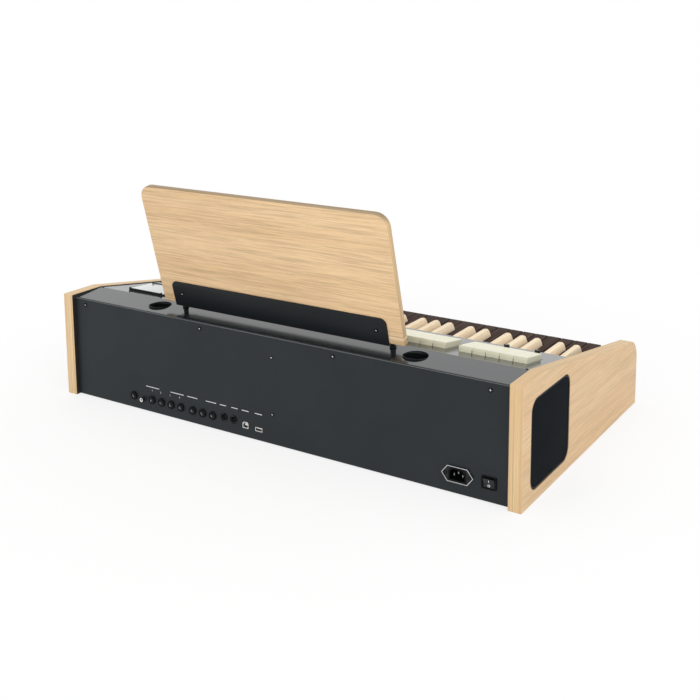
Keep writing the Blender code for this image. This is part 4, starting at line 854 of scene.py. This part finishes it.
def add_jack(name, x):
    """A jack: ribbed nut, threaded bush with a funnel mouth and its sleeve contact."""
    place = rear(x, JACK_Z)
    nut = plate(
        f"{name}_nut", [ribbed(0.0075, 30, 0.00035), circle(0.0046)], 0.0021,
        place @ Matrix.Translation((0, 0, 0.0004)), "jet", "case", 0.00035,
    )
    profile = [(0.0033, -0.016), (0.0033, 0.0014), (0.0041, 0.0027), (0.0044, 0.0029)]
    for k in range(6):
        profile += [(0.00465, 0.0027 - 0.0004 * k), (0.0044, 0.0025 - 0.0004 * k)]
    profile += [(0.0046, 0.0), (0.0046, -0.016)]
    bush = lathe(f"{name}_bush", profile, place, "jet", "case", 32)
    joined([nut, bush], f"{name}_nut")
    sleeve = [(0.00298, 0.0010), (0.00335, 0.0016), (0.0034, 0.0012), (0.0034, -0.0045), (0.00298, -0.0045)]
    lathe(f"{name}_sleeve", sleeve, place, "steel", "case", 32)


def add_round_socket(name, x):
    """A round multi-pin socket: rim, metal shield, face with five contact holes."""
    place = rear(x, ROUND_Z)
    rim = [(0.0077, -0.010), (0.0077, 0.0002), (0.0074, 0.0005), (0.0067, 0.0005), (0.0064, 0.0002)]
    rim += [(0.0064, -0.010)]
    lathe(f"{name}_rim", rim, place, "jet", "case", 48)
    shield = [(0.0063, -0.0078), (0.0063, -0.0004), (0.0060, -0.0004), (0.0060, -0.0078)]
    lathe(f"{name}_shield", shield, place, "dull_metal", "case", 48)
    holes = []
    for k in range(5):
        turn = math.pi * k / 4
        holes.append(circle(0.0008, (0.0037 * math.cos(turn), 0.0037 * math.sin(turn) - 0.0006), 12))
    key = rounded_box(0.0018, 0.0012, 0.0003, (0, -0.0050), 3)
    plate(
        f"{name}_face", [circle(0.0060, steps=48), *holes, key], 0.0020,
        place @ Matrix.Translation((0, 0, -0.0050)), "jet", "case", 0.0002,
    )


def add_phono():
    """The phono socket: plated shell, white insulator and the contact inside it."""
    place = rear(*PHONO)
    base = [(0.0052, 0.0), (0.0052, 0.0009), (0.0048, 0.0013), (0.0042, 0.0013), (0.0042, 0.0)]
    lathe("phono_base", base, place, "black", "case")
    shell = [(0.0039, 0.0013), (0.0039, 0.0062), (0.0037, 0.0066), (0.0035, 0.0066), (0.0034, 0.0062)]
    shell += [(0.0034, 0.0013)]
    lathe("phono_shell", shell, place, "screw", "case")
    core = [(0.0034, 0.0), (0.0034, 0.0068), (0.0021, 0.0068), (0.0018, 0.0064), (0.0018, 0.0)]
    lathe("phono_insulator", core, place, "white_plastic", "case")
    contact = [(0.0018, 0.0056), (0.0018, -0.004), (0.0014, -0.004), (0.0014, 0.0050)]
    lathe("phono_contact", contact, place, "dull_metal", "case", 24)


def add_usb():
    """The two data sockets: plated shells, tongues and their contacts."""
    place = rear(*USB_B)
    half, rise, cut = 0.0060, 0.0054, 0.0022
    outline = [(-half, -rise), (half, -rise), (half, rise - cut), (half - cut, rise), (cut - half, rise)]
    outline += [(-half, rise - cut)]
    inner = [(a * 0.80, b * 0.78) for a, b in outline]
    deep = place @ Matrix.Translation((0, 0, -USB_DEEP))
    plate("square_data_shell", [outline, inner], USB_SHELL, deep, "silver", "case", 0.0003)
    bar("square_data_tongue", 0.0056, 0.0032, 0.0090, deep, "white_plastic", "case", 0.0003)
    plate("square_data_floor", [inner], 0.0010, deep, "black", "case")
    contacts = [
        bar(f"square_data_contact_{a}_{b}", 0.0010, 0.00015, 0.0070,
            deep @ Matrix.Translation((a * 0.00125, b * 0.00165, 0.001)), "silver", "case")
        for a in (-1, 1) for b in (-1, 1)
    ]
    joined(contacts, "square_data_contacts")
    place = rear(*USB_A)
    deep = place @ Matrix.Translation((0, 0, -USB_DEEP))
    outer = rounded_box(0.0145, 0.0070, 0.0008)
    inner = rounded_box(0.0125, 0.0050, 0.0004)
    plate("flat_data_shell", [outer, inner], USB_SHELL, deep, "silver", "case", 0.0003)
    plate("flat_data_floor", [inner], 0.0010, deep, "black", "case")
    tongue = deep @ Matrix.Translation((0, 0.0009, 0))
    bar("flat_data_tongue", 0.0115, 0.0018, 0.0090, tongue, "white_plastic", "case", 0.0003)
    contacts = [
        bar(f"flat_data_contact_{k}", 0.0012, 0.00015, 0.0070,
            deep @ Matrix.Translation(((k - 1.5) * 0.0024, -0.0001, 0.001)), "silver", "case")
        for k in range(4)
    ]
    joined(contacts, "flat_data_contacts")


def add_print():
    """The white lines over the groups of sockets and the figures of the line jacks."""
    strokes = []
    for start, end in GROUP_LINES:
        length = 0.35 * (start - end)
        for k, x in enumerate((start - length / 2, end + length / 2)):
            strokes.append(bar(
                f"stroke_{start}_{k}", length, 0.0010, 0.00008, rear(x, GROUP_LINE_Z), "white_print",
                "case",
            ))
    joined(strokes, "group_lines")
    figures = [
        lettering(
            f"figure_{k + 1}", str(k + 1), FIGURE_SIZE, rear(x, FIGURE_Z, PRINT_LIFT), "white_print",
            "case",
        )
        for k, x in enumerate(FIGURE_XS)
    ]
    joined(figures, "line_figures")


add_socket_board()
for k, x in enumerate(JACK_XS):
    add_jack(f"jack_{k + 1}", x)
for k, x in enumerate(ROUND_XS):
    add_round_socket(f"round_socket_{k + 1}", x)
add_phono()
add_usb()
add_print()


# Mains inlet and power switch

SWITCH_MARGIN = 0.0320
INLET_SPACING = 0.0500
SWITCH = (SWITCH_MARGIN - HALF_INSIDE, 0.0312)
INLET = (SWITCH[0] + INLET_SPACING, 0.0314)


def add_inlet():
    """The inlet: pointed flange with a raised rim in bright metal as a painted highlight on its edges, collar round
    the mouth, three pins and two screws.
    """
    place = rear(*INLET, FIT)

    def pointed(tip, flat, rise):
        return [(-tip, 0), (-flat, -rise), (flat, -rise), (tip, 0), (flat, rise), (-flat, rise)]

    def mouth_outline(grow):
        half, height, cut = 0.01225 + grow, 0.00825 + grow, 0.005
        return [
            (-half, -height), (half, -height), (half, height - cut), (half - cut, height),
            (cut - half, height), (-half, height - cut),
        ]

    flange = plate(
        "inlet_flange", [pointed(0.0260, 0.0165, 0.0125), mouth_outline(0.0020)], 0.0019, place, "black",
        "case", 0.0004,
    )
    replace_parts(flange, "mains_inlet")
    plate(
        # Painted highlight: the rim's bright metal stands for the light on the flange's edges.
        "inlet_rim", [pointed(0.0259, 0.0165, 0.0124), pointed(0.0246, 0.0157, 0.0113)], 0.0006,
        place @ Matrix.Translation((0, 0, 0.0019)), "highlight_metal", "case", 0.0001,
    )
    collar = plate(
        "inlet_collar", [mouth_outline(0.0022), mouth_outline(0.0)], 0.0195,
        place @ Matrix.Translation((0, 0, -0.0168)), "jet", "case", 0.0004,
    )
    floor = plate(
        "inlet_floor", [mouth_outline(0.0008)], 0.0020, place @ Matrix.Translation((0, 0, -0.0165)),
        "jet", "case",
    )
    joined([collar, floor], "inlet_collar")
    for k, raise_by in ((-1, -0.002), (0, 0.002), (1, -0.002)):
        spot = place @ Matrix.Translation((-k * 0.007, raise_by, -0.0150))
        bar(f"inlet_pin_{k + 2}", 0.0020, 0.0040, 0.0128, spot, "dull_metal", "case", 0.0006)
    for side, spot in zip(("left", "right"), (-1, 1)):
        add_screw(
            f"inlet_screw_{side}", place @ Matrix.Translation((spot * 0.0195, 0, 0.0016)), "case",
            0.0026, "screw",
        )


def facet_frames(name):
    """The frames of a rocker's two broad rear facets, upper and lower, read from its mesh."""
    found = {}
    for face in NODES[name].data.polygons:
        if face.normal.y > 0.85:
            key = "lower" if face.center.z < SWITCH[1] else "upper"
            found.setdefault(key, []).append((face.area, face.center.copy(), face.normal.copy()))
    frames = {}
    for key, faces in found.items():
        total = sum(area for area, centre, normal in faces)
        centre = sum((area * middle for area, middle, normal in faces), Vector()) / total
        normal = faces[0][2]
        frames[key] = frame_at(centre, -ACROSS, normal.cross(-ACROSS))
    return frames


def add_switch():
    """The switch's frame and rocker, with the line and ring on it."""
    place = rear(*SWITCH, FIT)
    frame_outline = rounded_box(0.0240, 0.0196, 0.0020)
    mouth = rounded_box(0.0184, 0.0170, 0.0008)
    bezel = plate(
        "switch_bezel", [frame_outline, mouth], 0.0017, place, "jet", "case", 0.0005
    )
    body = plate(
        "switch_body", [rounded_box(0.0206, 0.0184, 0.0010), mouth], 0.0205,
        place @ Matrix.Translation((0, 0, -0.0200)), "jet", "case", 0.0002,
    )
    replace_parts(joined([bezel, body], "switch_bezel"), "power_switch_frame")
    finish_node("power_rocker", "black_gloss", 0.0006, 3, 15)
    facets = facet_frames("power_rocker")
    bar("rocker_line", 0.0009, 0.0036, 0.00005, facets["upper"], "white_print", "power_rocker")
    plate(
        "rocker_ring", [circle(0.0019), circle(0.0012)], 0.00005, facets["lower"], "white_print",
        "power_rocker",
    )


add_inlet()
add_switch()


# Music desk

finish_node("desk_board", "desk", 0.0012, 3)
finish_node("desk_ledge", "ledge", 0.0012, 3)
finish_node("desk_bracket", "bracket", 0.0005, 2)
BRACKET_SCREW_X = 0.193
for i, side in enumerate((1, -1)):
    place = desk_back(side * BRACKET_SCREW_X, 0.021, 0.0023)
    add_screw(f"bracket_screw_{i + 1}", place, "music_desk", 0.0031)


PIN_X = 0.20795
PIN_U = DESK_U + 0.0175


def add_pin_collar(name, x):
    """The foot of a desk pin's collar, just above the cover."""
    base = point(x, PIN_U, KNEE_Z - (KNEE_U - PIN_U - 0.0042) * math.tan(COVER_TILT) + FIT)
    profile = [(0.0030, 0.0), (0.0052, 0.0), (0.0055, 0.0004), (0.0055, 0.0020)]
    profile += [(0.0050, 0.0025), (0.0030, 0.0026)]
    lathe(name, profile, Matrix.Translation(base), "black", "music_desk", 32)


for name, side in (("left", -1), ("right", 1)):
    add_pin_collar(f"{name}_pin_collar", side * PIN_X)


# Controls

TAB_MARGINS = (0.0213, 0.1779)
TAB_PLACES = 29
TAB_PITCH = (2 * HALF_INSIDE - TAB_MARGINS[0] - TAB_MARGINS[1]) / TAB_PLACES
TAB_FIRST_X = TAB_MARGINS[0] - HALF_INSIDE
TAB_REAR = 0.038
TAB_LENGTH = 0.056


def add_tab(name, body, x):
    """A stop tab: a lid with soft edges on a slightly narrower body and its keel."""
    pieces = []
    lid = [(0.0, 0.0040), (0.0, 0.0090), (TAB_LENGTH, 0.0085), (TAB_LENGTH, 0.0040)]
    lower = [(0.0003, -0.0028), (0.0003, 0.0042), (TAB_LENGTH - 0.0003, 0.0042)]
    lower += [(TAB_LENGTH - 0.0003, -0.0028), (TAB_LENGTH / 2, -0.0062)]
    for part, outline, width, edge in (
        ("lid", lid, TAB_PITCH - 0.00025, 0.0006), ("body", lower, TAB_PITCH - 0.0014, 0.0003),
    ):
        base = panel(x, TAB_REAR)
        along = -base.col[1].to_3d()
        out = base.col[2].to_3d()
        place = frame_at(base.translation, along, out) @ Matrix.Translation((0, 0, -width / 2))
        pieces.append(plate(f"{name}_{part}", [outline], width, place, "cream", body, edge, 3))
    return joined(pieces, name)


for index in range(5):
    name = f"stop_tab_{index + 1}"
    tab = add_tab(name + "_finished", name, TAB_FIRST_X + (index + 0.5) * TAB_PITCH)
    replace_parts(tab, name)
for group in range(1, 5):
    name = f"stop_tab_group_{group + 1}"
    start = TAB_FIRST_X + 6 * group * TAB_PITCH
    tabs = [add_tab(f"{name}_{k + 1}", name, start + (k + 0.5) * TAB_PITCH) for k in range(5)]
    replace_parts(joined(tabs, name + "_finished"), name)


KNOB_X = 0.0331 - HALF_INSIDE
KNOB_SPACING = 0.0515
KNOB_V = 0.1055


def add_knob(name, x):
    """A small ribbed knob with a pale pointer line."""
    place = panel(x, KNOB_V, FIT)
    skirt = plate(name + "_skirt", [circle(0.0050)], 0.0014, place, "black", name, 0.0003)
    grip = plate(
        name + "_grip", [ribbed(0.0043, 18, 0.0003)], 0.0097, place @ Matrix.Translation((0, 0, 0.0010)),
        "black", name, 0.0005, 3,
    )
    shaft = plate(
        name + "_shaft", [circle(0.003)], 0.009, place @ Matrix.Translation((0, 0, -0.009)),
        "black", name,
    )
    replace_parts(joined([skirt, grip, shaft], name + "_finished"), name)
    pointer = place @ Matrix.Translation((0, 0.0020, 0.0107))
    bar(name + "_pointer", 0.0007, 0.0036, 0.00008, pointer, "white_print", name)


for name, x in (("outer_knob", KNOB_X), ("inner_knob", KNOB_X + KNOB_SPACING)):
    add_knob(name, x)


DISPLAY_MARGIN = 0.0893
DISPLAY_X = HALF_INSIDE - DISPLAY_MARGIN
DISPLAY_REAR = 0.022
DISPLAY_SIZE = (0.080, 0.063)
DISPLAY_LIFT = math.radians(6.0)


def add_display():
    """The display: a dark body that rises towards the player, pale glass, edge bars and corner posts."""
    width, length = DISPLAY_SIZE
    base = panel(DISPLAY_X, DISPLAY_REAR, FIT)
    side = frame_at(base.translation, -base.col[1].to_3d(), base.col[2].to_3d())
    rise = length * math.tan(DISPLAY_LIFT)
    outline = [(0.0, 0.0), (0.0, 0.0014), (length, 0.0014 + rise), (length, 0.0)]
    body = plate(
        "display_body", [outline], width, side @ Matrix.Translation((0, 0, -width / 2)), "black", "case",
        0.0003,
    )
    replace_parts(body, "display")
    top = base @ Matrix.Translation((0, 0, 0.0012)) @ Matrix.Rotation(-DISPLAY_LIFT, 4, "X")
    glass = rounded_box(width - 0.0012, length - 0.0012, 0.0025)
    plate(
        "display_glass", [glass], 0.0012, top @ Matrix.Translation((0, -length / 2, 0)), "glass",
        "case", 0.0003,
    )
    for name, y, thick in (("rear", -0.0012, 0.0022), ("front", 0.0008 - length, 0.0012)):
        edge = top @ Matrix.Translation((0, y, 0.0002))
        bar(f"display_{name}_bar", width, thick, 0.0022, edge, "black", "case", 0.0004)
        for k in (-1, 1):
            post = edge @ Matrix.Translation((k * (width / 2 - 0.002), 0, 0))
            plate(
                f"display_{name}_post_{k + 2}", [circle(0.0018)], 0.0034, post, "black",
                "case", 0.0004,
            )


add_display()


# Keys

SHARP_FINISH = ("sharp", 0.0005, 2)
NATURAL_FINISH = ("natural", 0.0008, 3)
KEY_EDGE_ANGLE = 25

for name in sorted(NODES):
    if name.startswith(("key_", "octave_")):
        finish_node(name, *(SHARP_FINISH if "sharp" in name else NATURAL_FINISH), KEY_EDGE_ANGLE)
